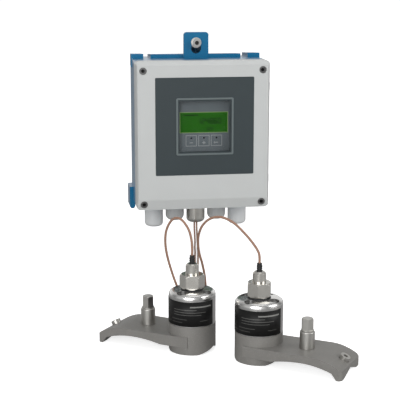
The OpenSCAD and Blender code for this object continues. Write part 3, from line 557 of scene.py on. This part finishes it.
def bright_print(tree, rgb, strength=0.0):
    """Printed or lit marks, slightly uneven."""
    ink = tree.tone(tree.noise(1.5 * MM), rgb, 0.9, 1.08)
    tree.surface({
        "Base Color": ink,
        "Roughness": tree.noise(0.6 * MM).between(0.45, 0.5),
        "Specular IOR Level": 0.1,
        "Emission Color": ink,
        "Emission Strength": strength,
    })


# Each finish by name, as a function of an empty node tree
FINISHES = {
    "housing_blue": lambda t: painted(t, colours().housing, 0.3, 0.4),
    "cover_grey": lambda t: painted(t, colours().cover, 0.42, 0.15),
    "panel_dark": lambda t: moulded(t, colours().panel, 0.55, 0.006 * MM),
    "trim_grey": lambda t: moulded(t, colours().trim, 0.45),
    "window_glass": cover_glass,
    "display_plate": lambda t: moulded(t, colours().plate),
    "lcd_green": display_face,
    "lcd_rim": lambda t: bright_print(t, colours().display_rim, 0.25),
    "lcd_digits": lambda t: bright_print(t, shade(colours().display, 0.1)),
    "key_print": lambda t: bright_print(t, KEY_PRINT),
    "key_lens": lambda t: moulded(t, KEY_LENS, 0.25),
    "circuit_board": circuit,
    "white_plastic": lambda t: moulded(t, WHITE_PLASTIC),
    "black_plastic": lambda t: moulded(t, BLACK_PLASTIC),
    "terminal_green": lambda t: moulded(t, TERMINAL_GREEN, 0.45),
    "winding_gold": wound,
    "gland_grey": lambda t: moulded(t, colours().glands, 0.45),
    "plug_grey": lambda t: moulded(t, colours().plugs),
    "zinc": lambda t: plated(t, ZINC, 0.3),
    "cover_screws": lambda t: screw_heads(t, COVER_SCREW_STEEL, "cover_screws",
                                          COVER_SCREW_HEAD, COVER_SCREW_RECESS),
    "wall_bolt": lambda t: screw_heads(t, WALL_BOLT_STEEL, "wall_bolt", WALL_BOLT_HEAD, WALL_BOLT_RECESS),
    "nickel": lambda t: plated(t, colours().nickel, 0.16),
    "holder_cast": lambda t: cast(t, colours().holder),
    "sleeve_steel": lambda t: plated(t, colours().steel, 0.24, (0.05, 0.05, 6)),
    "cap_left": lambda t: turned_cap(t, colours().cap, sensor_axis("left")),
    "cap_right": lambda t: turned_cap(t, colours().cap, sensor_axis("right")),
    "label_black": sensor_label,
    "rubber_black": rubber,
    "cable_brown": cable_jacket,
}

# Pieces whose finish in the scene is richer than the slot of the record gives
OWN_FINISH = {
    "cover_screws": "cover_screws",
    "wall_bolt": "wall_bolt",
    "lcd_rim": "lcd_rim",
    "key_frames": "key_print",
    "blanking_plugs": "plug_grey",
    "cap_left": "cap_left",
    "cap_right": "cap_right",
}


def finish(name):
    """The material for a finish, painted when it is first asked for."""
    material_name = "finish_" + name
    found = bpy.data.materials.get(material_name)
    if found is None:
        found = bpy.data.materials.new(material_name)
        FINISHES[name](Tree(found))
    return found


# Meshes and pieces

def sensor_axis(side):
    """The upright axis of a sensor, as its place in X and Y."""
    low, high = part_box("cap_" + side)
    return ((low.x + high.x) / 2, (low.y + high.y) / 2)


def new_piece(name, data, body, material, replaced=()):
    """Puts a finished mesh or curve in the scene as a piece that moves with a body."""
    piece = bpy.data.objects.new(name, data)
    bpy.context.scene.collection.objects.link(piece)
    data.materials.append(finish(material))
    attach(piece, body)
    if replaced:
        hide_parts(*replaced)
    return piece


def finished_mesh(name, shape):
    bmesh.ops.recalc_face_normals(shape, faces=shape.faces)
    mesh = bpy.data.meshes.new(name)
    shape.to_mesh(mesh)
    shape.free()
    return mesh


def base_piece(name, shape, material):
    """A mesh made into a piece that moves with the base, with the given finish."""
    return new_piece(name, finished_mesh(name, shape), "base", material)


def add_block(shape, centre, size, edge=0.0):
    """A block with broken edges."""
    made = bmesh.ops.create_cube(shape, size=1.0)["verts"]
    bmesh.ops.scale(shape, vec=size, verts=made)
    bmesh.ops.translate(shape, vec=centre, verts=made)
    if edge:
        edges = {e for v in made for e in v.link_edges}
        bmesh.ops.bevel(shape, geom=list(edges), offset=edge, segments=2, affect="EDGES", profile=0.5)


def add_turned(shape, profile, origin, axis="Z", steps=24):
    """A turned part from a profile of (radius, height) points, about an axis through origin."""
    turn = {"X": Matrix.Rotation(math.pi / 2, 4, "Y"), "Y": Matrix.Rotation(math.pi / 2, 4, "X"),
            "Z": Matrix.Identity(4)}[axis]
    place = Matrix.Translation(origin) @ turn
    rings = []
    for radius, height in profile:
        rings.append([
            shape.verts.new(place @ Vector((radius * math.cos(a), radius * math.sin(a), height)))
            for a in (math.tau * step / steps for step in range(steps))
        ])
    for low, high in zip(rings, rings[1:]):
        for k in range(steps):
            shape.faces.new((low[k], low[(k + 1) % steps], high[(k + 1) % steps], high[k]))
    shape.faces.new(rings[0][::-1])
    shape.faces.new(rings[-1])


def add_plate(shape, points, y_back, y_front):
    """A flat mark with an outline of (x, z) points, between two planes across Y."""
    rings = [[shape.verts.new((x, y, z)) for x, z in points] for y in (y_back, y_front)]
    shape.faces.new(rings[0])
    shape.faces.new(rings[1][::-1])
    for k in range(len(points)):
        n = (k + 1) % len(points)
        shape.faces.new((rings[0][k], rings[1][k], rings[1][n], rings[0][n]))


def bar(x, z, w, h):
    """Corners of a rectangle round a middle."""
    return [(x - w / 2, z - h / 2), (x + w / 2, z - h / 2), (x + w / 2, z + h / 2), (x - w / 2, z + h / 2)]


def soften(name, width, segments=3):
    """Rounds a node's sharp edges with modifiers, so its own mesh keeps its shape."""
    node = frame["nodes"][name]
    weld = node.modifiers.new("weld", "WELD")
    weld.merge_threshold = WELD_GAP
    edges = node.modifiers.new("edges", "BEVEL")
    edges.width = width
    edges.segments = segments
    edges.limit_method = "ANGLE"
    edges.angle_limit = math.radians(SHARP_ANGLE)
    edges.harden_normals = False
    normals = node.modifiers.new("normals", "WEIGHTED_NORMAL")
    normals.keep_sharp = False


def soften_fine(*names):
    for name in names:
        soften(name, *FINE_EDGES[name])


def dress(*names):
    """Gives nodes the finish of their own or of their slot in the record."""
    slots = {row["node"]: row["material_slot"] for row in frame["record"]["subparts"]}
    for name in names:
        mesh = frame["nodes"][name].data
        mesh.materials.clear()
        mesh.materials.append(finish(OWN_FINISH.get(name, slots[name])))
        for polygon in mesh.polygons:
            polygon.use_smooth = True


# Cables

def smooth_line(points):
    """Points on a smooth curve through all the given ones, and the length of the line they make."""
    given = [Vector(point) for point in points]
    line = []
    for i in range(len(given) - 1):
        a, b, c, d = (given[max(i - 1, 0)], given[i], given[i + 1], given[min(i + 2, len(given) - 1)])
        for t in (cut / ROUTE_CUTS for cut in range(ROUTE_CUTS)):
            line.append((2 * b + (c - a) * t + (2 * a - 5 * b + 4 * c - d) * t ** 2
                         + (3 * b - a - 3 * c + d) * t ** 3) / 2)
    line.append(given[-1])
    return line, sum((q - p).length for p, q in zip(line, line[1:]))


def cable_curve(name, line, radius):
    curve = bpy.data.curves.new(name, "CURVE")
    curve.dimensions = "3D"
    curve.bevel_depth = radius
    curve.bevel_resolution = CABLE_ROUNDNESS
    curve.use_fill_caps = True
    spline = curve.splines.new("POLY")
    spline.points.add(len(line) - 1)
    for point, place in zip(spline.points, line):
        point.co = (*place, 1)
    spline.use_smooth = True
    return curve


# Operators, one for each piece or group of like pieces

class BuildStep:
    """What all the build steps share."""

    bl_options = {"REGISTER", "UNDO"}


class FLOWMETER_OT_camera(BuildStep, bpy.types.Operator):
    """Sets the camera a little above the meter and to its left"""

    bl_idname = "flowmeter.camera"
    bl_label = "Camera"

    def execute(self, context):
        data = bpy.data.cameras.new("camera")
        data.sensor_width = CAMERA_SENSOR
        data.lens = CAMERA_LENS
        data.clip_end = CAMERA_REACH
        camera = bpy.data.objects.new("camera", data)
        camera.location = CAMERA_PLACE
        camera.rotation_euler = (math.radians(90 - CAMERA_DOWN), 0, math.radians(-CAMERA_RIGHT))
        context.scene.collection.objects.link(camera)
        context.scene.camera = camera
        return {"FINISHED"}


class FLOWMETER_OT_cables(BuildStep, bpy.types.Operator):
    """Lays the two sensor cables from the middle gland to the sensors"""

    bl_idname = "flowmeter.cables"
    bl_label = "Sensor cables"

    def execute(self, context):
        diameter = sizes().cable_d
        for side, route in CABLE_ROUTES.items():
            line, line_length = smooth_line(route)
            name = "sensor_cable_" + side
            curve = cable_curve(name, line, diameter / 2)
            cable = new_piece(name, curve, "base", "cable_brown", ("cable_" + side,))
        return {"FINISHED"}


class FLOWMETER_OT_housing(BuildStep, bpy.types.Operator):
    """Paints the rear housing and plates its bolt, washer and hinge pins"""

    bl_idname = "flowmeter.housing"
    bl_label = "Rear housing"

    def execute(self, context):
        dress("rear_housing", "wall_bolt", "bolt_washer", "hinge_pins", "cover_seal")
        soften("rear_housing", sizes().cast_edge)
        soften("wall_bolt", sizes().turned_edge)
        soften_fine("bolt_washer")
        return {"FINISHED"}


class FLOWMETER_OT_cover(BuildStep, bpy.types.Operator):
    """Paints the front cover and dresses its panel, window and screws"""

    bl_idname = "flowmeter.cover"
    bl_label = "Front cover"

    def execute(self, context):
        # The dark window liner is painted shade: a sleeve that stands for the shade on the window's inner
        # walls
        dress("front_cover", "front_panel", "window_frame", "window_liner", "window_glass",
              "cover_screws")
        soften("front_cover", sizes().cast_edge)
        soften_fine("cover_screws", "window_frame")
        return {"FINISHED"}


# Segments of a digit as (x, z, across) in half heights, in the order a to g
SEGMENTS = ((0, 1, True), (.5, .5, False), (.5, -.5, False), (0, -1, True), (-.5, -.5, False),
            (-.5, .5, False), (0, 0, True))
DIGITS = {"0": "abcdef", "1": "bc", "2": "abged", "4": "fgbc", "5": "afgcd", "6": "afgedc", "8": "abcdefg"}

# Shares of a digit's height: its line and the pitch of the digits
DIGIT_LINE_SHARE = 0.16
DIGIT_PITCH_SHARE = 0.78

# Shares of a digit's half height: segments across and upright, and the dot's place left of the next digit
ACROSS_SHARE = 0.82
UPRIGHT_SHARE = 0.8
DOT_SHARE = 0.45

# Rows of digits: text, place right of the middle and above the lower edge, and share of the large
# digits' height
DISPLAY_ROWS = (("1248.60", -8 * MM, 19 * MM, 1), ("52.4", 6 * MM, 6.5 * MM, 0.55))
DIGIT_T = 0.15 * MM

# The bar on the display: its width, height, and place from the left and from the upper edge
LEVEL_W = 24 * MM
LEVEL_H = 1.4 * MM
LEVEL_IN = 6 * MM
LEVEL_DOWN = 5 * MM

# Marks in the key fields: thickness, width, line, place below the middle, and half the width of the
# arrow's head
KEY_MARK_T = 0.25 * MM
KEY_MARK_W = 5.4 * MM
KEY_MARK_LINE = 1.5 * MM
KEY_MARK_DOWN = 3.2 * MM
KEY_ARROW = 2.2 * MM

# Lens of a key: profile, and place above the middle of its field
KEY_LENS_PROFILE = ((1.6 * MM, 0), (1.6 * MM, 0.15 * MM), (1.1 * MM, 0.3 * MM))
KEY_LENS_UP = 4.4 * MM


def add_digits(shape, text, x, z, height, y_back, y_front):
    """A row of seven-segment digits from x to the right."""
    half = height / 2
    line = height * DIGIT_LINE_SHARE
    for mark in text:
        if mark == ".":
            add_plate(shape, bar(x - half * DOT_SHARE, z - half, line, line), y_back, y_front)
            continue
        for (sx, sz, across), letter in zip(SEGMENTS, "abcdefg"):
            if letter in DIGITS[mark]:
                w, h = (half * ACROSS_SHARE, line) if across else (line, half * UPRIGHT_SHARE)
                add_plate(shape, bar(x + sx * half, z + sz * half, w, h), y_back, y_front)
        x += height * DIGIT_PITCH_SHARE


class FLOWMETER_OT_display(BuildStep, bpy.types.Operator):
    """Dresses the display plate, the display and its three key fields"""

    bl_idname = "flowmeter.display"
    bl_label = "Display"

    def execute(self, context):
        dress("display_carrier", "lcd_screen", "lcd_rim", "key_frames", "display_board")
        self.digits()
        self.key_marks()
        return {"FINISHED"}

    def digits(self):
        low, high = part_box("lcd_rim")
        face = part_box("lcd_screen")[0].y
        front = face - DIGIT_T
        shape = bmesh.new()
        for text, right, up, share in DISPLAY_ROWS:
            add_digits(shape, text, (low.x + high.x) / 2 + right, low.z + up,
                       sizes().digit_h * share, face, front)
        level = bar(low.x + LEVEL_IN + LEVEL_W / 2, high.z - LEVEL_DOWN, LEVEL_W, LEVEL_H)
        add_plate(shape, level, face, front)
        base_piece("display_digits", shape, "lcd_digits")

    def key_marks(self):
        """A bar in the first field, a cross in the second and an arrow in the third, each under a lens."""
        low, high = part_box("key_frames")
        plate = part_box("display_carrier")[0].y
        front = plate - KEY_MARK_T
        pitch = (high.x - low.x - (high.z - low.z)) / 2
        middle = (low + high) / 2
        z = middle.z - KEY_MARK_DOWN
        w, h = KEY_MARK_W, KEY_MARK_LINE
        marks = bmesh.new()
        lenses = bmesh.new()
        for index in (-1, 0, 1):
            x = middle.x + index * pitch
            add_turned(lenses, KEY_LENS_PROFILE, (x, plate, middle.z + KEY_LENS_UP), "Y")
            add_plate(marks, bar(x, z, w, h), plate, front)
            if index == 0:
                for side in (-1, 1):
                    add_plate(marks, bar(x, z + side * (w + h) / 4, h, (w - h) / 2), plate, front)
            if index == 1:
                neck = x - w / 2
                head = [(neck - KEY_ARROW, z), (neck, z - KEY_ARROW), (neck, z + KEY_ARROW)]
                add_plate(marks, head, plate, front)
        base_piece("key_marks", marks, "key_print")
        base_piece("key_lenses", lenses, "key_lens")


# Chips on the amplifier board: x, z and width in millimetres
CHIPS = ((22, 74, 14), (62, 72, 10), (24, 30, 18), (-14, 24, 12), (66, 6, 12), (-62, 20, 14))
CHIP_T = 2 * MM
CHIP_STAND = 0.3 * MM
CHIP_EDGE = 0.3 * MM
LEGS = 7
LEG_SIZE = (0.6 * MM, 1 * MM, 1.6 * MM)
LEG_OUT = 0.7 * MM

# Relays on the power board: x and z in millimetres
RELAYS = ((62, 20), (62, -4), (-60, 0))
RELAY_SIZE = (26 * MM, 15 * MM, 16 * MM)
RELAY_EDGE = 0.8 * MM

# Capacitors on each board: x, z, radius and height in millimetres
CAPACITORS = {
    "power_board": ((4, 76, 8, 22), (24, 76, 8, 22), (14, 20, 6, 16), (-10, 20, 6, 16)),
    "amplifier_board": ((50, 44, 4, 9), (70, 44, 4, 9), (-66, 60, 5, 11), (-66, 80, 5, 11)),
}

# Plug headers on each board: x, z and width in millimetres, and the pitch of their pins
HEADERS = {
    "amplifier_board": ((-48, -29, 34), (10, -29, 44), (60, -29, 22)),
    "io_board": ((-52, -52, 24), (0, -52, 34), (50, -52, 24)),
}
HEADER_D = 8 * MM
HEADER_H = 7 * MM
HEADER_EDGE = 0.4 * MM
PIN_PITCH = 4
PIN_SIZE = (2.4 * MM, 1.2 * MM, 4 * MM)
PIN_OUT = 0.3 * MM
PIN_EDGE = 0.2 * MM

# Terminal blocks as the solids have them, and the screws on their tops
BLOCKS = 3
BLOCK_GAP = 4 * MM
BLOCK_WAYS = 7
SCREW_PROFILE = ((2.1 * MM, 0), (2.1 * MM, 0.7 * MM), (1.7 * MM, 1 * MM))
SCREW_IN = 5 * MM
SCREW_STEPS = 16
SLOT_SIZE = (0.5 * MM, 3 * MM, 0.3 * MM)
SLOT_UP = 1.05 * MM


def can_profile(r, h):
    """A capacitor's can with a rolled groove near its foot and a turned-in rim, in metres."""
    foot = ((r * .86, 0), (r, .8), (r, 2), (r * .93, 2.5), (r, 3))
    rim = ((r, h - 1), (r * .88, h), (r * .8, h - .4))
    return [(radius * MM, height * MM) for radius, height in foot + rim]


class FLOWMETER_OT_electronics(BuildStep, bpy.types.Operator):
    """Fits out the boards inside the housing with their parts"""

    bl_idname = "flowmeter.electronics"
    bl_label = "Electronics"

    def execute(self, context):
        dress("base_plate", "standoffs", "board_spacers", "power_board", "transformer", "fuse",
              "amplifier_board", "shield_can", "io_board", "terminal_blocks", "sensor_leads")
        soften_fine("shield_can", "transformer", "terminal_blocks")
        self.chips()
        self.capacitors()
        self.headers()
        self.terminal_screws()
        return {"FINISHED"}

    def chips(self):
        """Chips with rows of legs on the amplifier board, and relays on the power board."""
        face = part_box("amplifier_board")[0].y
        bodies = bmesh.new()
        legs = bmesh.new()
        for x, z, w in CHIPS:
            centre = (x * MM, face - CHIP_STAND - CHIP_T / 2, z * MM)
            add_block(bodies, centre, (w * MM, CHIP_T, w * MM), CHIP_EDGE)
            self.legs(legs, centre, w * MM, face)
        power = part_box("power_board")[0].y
        for x, z in RELAYS:
            add_block(bodies, (x * MM, power - RELAY_SIZE[1] / 2, z * MM), RELAY_SIZE, RELAY_EDGE)
        base_piece("board_chips", bodies, "black_plastic")
        base_piece("chip_legs", legs, "zinc")

    def legs(self, shape, centre, width, face):
        """A row of legs above a chip and one below it."""
        for k in range(LEGS):
            x = centre[0] + (k - (LEGS - 1) / 2) * width / (LEGS + 1)
            for side in (-1, 1):
                z = centre[2] + side * (width / 2 + LEG_OUT)
                add_block(shape, (x, face - LEG_SIZE[1] / 2, z), LEG_SIZE)

    def capacitors(self):
        shape = bmesh.new()
        for board, cans in CAPACITORS.items():
            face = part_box(board)[0].y
            for x, z, r, h in cans:
                add_turned(shape, can_profile(r, h), (x * MM, face, z * MM), "Y")
        base_piece("capacitors", shape, "zinc")

    def headers(self):
        """White plug headers along the boards' lower edges."""
        shape = bmesh.new()
        for board, plugs in HEADERS.items():
            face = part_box(board)[0].y
            for x, z, w in plugs:
                size = (w * MM, HEADER_D, HEADER_H)
                add_block(shape, (x * MM, face - HEADER_D / 2, z * MM), size, HEADER_EDGE)
                for k in range(1, int(w / PIN_PITCH)):
                    pin_x = (x - w / 2 + k * PIN_PITCH) * MM
                    add_block(shape, (pin_x, face - HEADER_D - PIN_OUT, z * MM), PIN_SIZE, PIN_EDGE)
        base_piece("board_headers", shape, "white_plastic")

    def terminal_screws(self):
        """A slotted screw over each wire hole of the terminal blocks."""
        low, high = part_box("terminal_blocks")
        width = (high.x - low.x - (BLOCKS - 1) * BLOCK_GAP) / BLOCKS
        y = low.y + SCREW_IN
        shape = bmesh.new()
        for block in range(BLOCKS):
            for way in range(1, BLOCK_WAYS):
                x = low.x + block * (width + BLOCK_GAP) + way * width / BLOCK_WAYS
                add_turned(shape, SCREW_PROFILE, (x, y, high.z), "Z", SCREW_STEPS)
                add_block(shape, (x, y, high.z + SLOT_UP), SLOT_SIZE)
        base_piece("terminal_screws", shape, "zinc")


class FLOWMETER_OT_entries(BuildStep, bpy.types.Operator):
    """Dresses the row of cable entries under the housing"""

    bl_idname = "flowmeter.entries"
    bl_label = "Cable entries"

    def execute(self, context):
        dress("gland_rings", "gland_locknuts", "gland_bodies", "gland_nuts", "gland_inserts",
              "blanking_plugs", "sensor_gland_body", "sensor_gland_nut", "sensor_gland_insert")
        for name in ("gland_locknuts", "gland_bodies", "gland_nuts", "blanking_plugs",
                     "sensor_gland_body", "sensor_gland_nut"):
            soften(name, sizes().turned_edge)
        return {"FINISHED"}


def label_band(name, side):
    """A curved label with its own coordinates, in millimetres along it and up."""
    low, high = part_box("sensor_labels")
    centre = sensor_axis(side)
    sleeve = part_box("sleeve_" + side)
    outer = (sleeve[1].x - sleeve[0].x) / 2 + LABEL_OUT
    inner = outer - LABEL_T
    section = ((outer, low.z), (outer, high.z), (inner, high.z), (inner, low.z))
    start = math.radians(LABEL_FROM)
    turn = math.radians(LABEL_TO) - start
    shape = bmesh.new()
    layer = shape.loops.layers.uv.new("band")
    columns = []
    for k in range(LABEL_STEPS + 1):
        angle = start + turn * k / LABEL_STEPS
        out = Vector((math.cos(angle), math.sin(angle)))
        columns.append([
            shape.verts.new((centre[0] + out.x * r, centre[1] + out.y * r, z)) for r, z in section
        ])
    step = turn * outer / MM / LABEL_STEPS
    height = (high.z - low.z) / MM
    rise = (0, 0, height, height)
    for k in range(LABEL_STEPS):
        along = (k * step, (k + 1) * step, (k + 1) * step, k * step)
        for j in range(len(section)):
            n = (j + 1) % len(section)
            face = shape.faces.new((columns[k][j], columns[k + 1][j], columns[k + 1][n], columns[k][n]))
            for loop, u, v in zip(face.loops, along, rise):
                loop[layer].uv = (u, v) if j == 0 else (0, 0)
            face.smooth = j in (0, 2)
    shape.faces.new(columns[0])
    shape.faces.new(columns[-1][::-1])
    return finished_mesh(name, shape)


class FLOWMETER_OT_sensors(BuildStep, bpy.types.Operator):
    """Dresses the two sensors with their holders, nuts, labels and strap bolts"""

    bl_idname = "flowmeter.sensors"
    bl_label = "Sensors"

    def execute(self, context):
        for side in SIDES:
            self.sensor(side)
        dress("coupling_pads", "sleeve_rings", "cable_seals", "strap_bushes", "lock_screws")
        soften("strap_bushes", sizes().turned_edge)
        soften_fine("lock_screws")
        for side in SIDES:
            name = "sensor_label_" + side
            replaced = ("sensor_labels",) if side == "left" else ()
            new_piece(name, label_band(name, side), "base", "label_black", replaced)
        return {"FINISHED"}

    def sensor(self, side):
        names = [part + "_" + side for part in
                 ("holder", "transducer", "sleeve", "cap", "connector", "union_nut", "cable_gland",
                  "strap_bolt")]
        dress(*names)
        soften("holder_" + side, sizes().cast_edge)
        for part in ("sleeve", "cap", "connector", "union_nut", "cable_gland", "strap_bolt"):
            soften(part + "_" + side, sizes().turned_edge, 2)


# Floor: half its width, its cells, and its gap under the sensors' holders
FLOOR_REACH = 6
FLOOR_CELLS = 8
FLOOR_GAP = 0.05 * MM

# Each lamp's place and width in metres, and the point that they all face
KEY_LAMP = ((-1.1, -2.7, 0.5), 2.0)
FILL_LAMP = ((1.9, -1.6, 0.9), 1.6)
TOP_LAMP = ((0.1, -0.5, 2.1), 1.6)
LAMP_AIM = (0, -0.3, -0.05)

# Strength of the fill light as a share of the key light's
FILL_SHARE = 0.5

# Sky: number of bright screens, and how bright it is between them, behind the meter, above it and
# in the picture
SCREENS = 5
SKY_GAPS = 0.30
SKY_BEHIND = 1.5
SKY_ABOVE = 0.75
SKY_SEEN = 1.05


class FLOWMETER_OT_stage(BuildStep, bpy.types.Operator):
    """Sets the floor, the lights and the sky"""

    bl_idname = "flowmeter.stage"
    bl_label = "Stage"

    def execute(self, context):
        stage = context.scene.flow_meter_stage
        self.floor(context, stage.floor)
        self.light(context, "key_light", *KEY_LAMP, stage.key_power)
        self.light(context, "fill_light", *FILL_LAMP, stage.key_power * FILL_SHARE)
        self.light(context, "top_light", *TOP_LAMP, stage.top_power)
        self.sky(context, stage.sky)
        context.scene.view_settings.view_transform = "Standard"
        return {"FINISHED"}

    def floor(self, context, rgb):
        """White in the picture, and dimmer where it only throws light back on the meter."""
        shape = bmesh.new()
        bmesh.ops.create_grid(shape, x_segments=FLOOR_CELLS, y_segments=FLOOR_CELLS, size=FLOOR_REACH)
        bmesh.ops.translate(shape, vec=(0, 0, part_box("holder_left")[0].z - FLOOR_GAP), verts=shape.verts)
        mesh = finished_mesh("floor", shape)
        material = bpy.data.materials.new("floor")
        tree = Tree(material)
        tone = tree.tone(tree.noise(0.4), rgb, 0.99, 1.0)
        seen = tree.node("ShaderNodeLightPath", output="Is Camera Ray")
        tree.surface({
            "Base Color": tree.mix(seen, shade(rgb, 0.5), tone),
            "Roughness": 0.7,
            "Emission Color": tree.mix(seen, grey(0), tone),
            "Emission Strength": 0.8,
        })
        mesh.materials.append(material)
        floor = bpy.data.objects.new("floor", mesh)
        context.scene.collection.objects.link(floor)

    def light(self, context, name, place, size, power):
        data = bpy.data.lights.new(name, "AREA")
        data.shape = "DISK"
        data.size = size
        data.energy = power
        lamp = bpy.data.objects.new(name, data)
        lamp.location = place
        aim = Vector(LAMP_AIM) - Vector(place)
        lamp.rotation_euler = aim.to_track_quat("-Z", "Y").to_euler()
        context.scene.collection.objects.link(lamp)

    def sky(self, context, strength):
        """White behind the meter, and soft screens with dark gaps between them all round it."""
        world = bpy.data.worlds.new("sky")
        context.scene.world = world
        tree = Tree(world)
        place = tree.node("ShaderNodeTexCoord", output="Generated")
        across, deep, rise = (tree.part(place, axis) for axis in "XYZ")
        turn = across.maths("ARCTAN2", across, deep)
        bands = 0.5 - 0.5 * turn.maths("COSINE", SCREENS * turn)
        low = tree.mix(bands, grey(SKY_GAPS), grey(1))
        behind = tree.mix(tree.step(deep, 0.4, 0.9), low, grey(SKY_BEHIND))
        lit = tree.mix(tree.step(rise, 0.1, 0.9), behind, grey(SKY_ABOVE))
        graded = tree.node("ShaderNodeBackground", {}, {"Color": lit, "Strength": strength})
        white = tree.node("ShaderNodeBackground", {}, {"Color": solid(grey(1)), "Strength": SKY_SEEN})
        seen = tree.node("ShaderNodeLightPath", output="Is Camera Ray")
        mixed = tree.node("ShaderNodeMixShader", {}, {0: seen, 1: graded, 2: white})
        tree.node("ShaderNodeOutputWorld", {}, {"Surface": mixed})


STEPS = (
    FLOWMETER_OT_camera, FLOWMETER_OT_cables, FLOWMETER_OT_housing, FLOWMETER_OT_cover,
    FLOWMETER_OT_display, FLOWMETER_OT_electronics, FLOWMETER_OT_entries, FLOWMETER_OT_sensors,
    FLOWMETER_OT_stage,
)


class FLOWMETER_PT_panel(bpy.types.Panel):
    """Lists the settings and the build steps"""

    bl_idname = "FLOWMETER_PT_panel"
    bl_label = "Flow Meter"
    bl_space_type = "VIEW_3D"
    bl_region_type = "UI"
    bl_category = "Flow Meter"

    def draw(self, context):
        scene = context.scene
        for group in (scene.flow_meter_sizes, scene.flow_meter_colours, scene.flow_meter_stage):
            column = self.layout.box().column()
            for name in group.__annotations__:
                column.prop(group, name)
        for step in STEPS:
            self.layout.operator(step.bl_idname)


GROUPS = {
    "flow_meter_colours": FlowMeterColours,
    "flow_meter_sizes": FlowMeterSizes,
    "flow_meter_stage": FlowMeterStage,
}


def register():
    for group in GROUPS.values():
        bpy.utils.register_class(group)
    for step in (*STEPS, FLOWMETER_PT_panel):
        bpy.utils.register_class(step)
    for name, group in GROUPS.items():
        setattr(bpy.types.Scene, name, PointerProperty(type=group))


def unregister():
    for name in GROUPS:
        delattr(bpy.types.Scene, name)
    for known in (FLOWMETER_PT_panel, *STEPS, *GROUPS.values()):
        bpy.utils.unregister_class(known)


def main():
    register()
    bpy.ops.flowmeter.camera()
    bpy.ops.flowmeter.cables()
    bpy.ops.flowmeter.housing()
    bpy.ops.flowmeter.cover()
    bpy.ops.flowmeter.display()
    bpy.ops.flowmeter.electronics()
    bpy.ops.flowmeter.entries()
    bpy.ops.flowmeter.sensors()
    bpy.ops.flowmeter.stage()


if __name__ == "__main__":
    main()
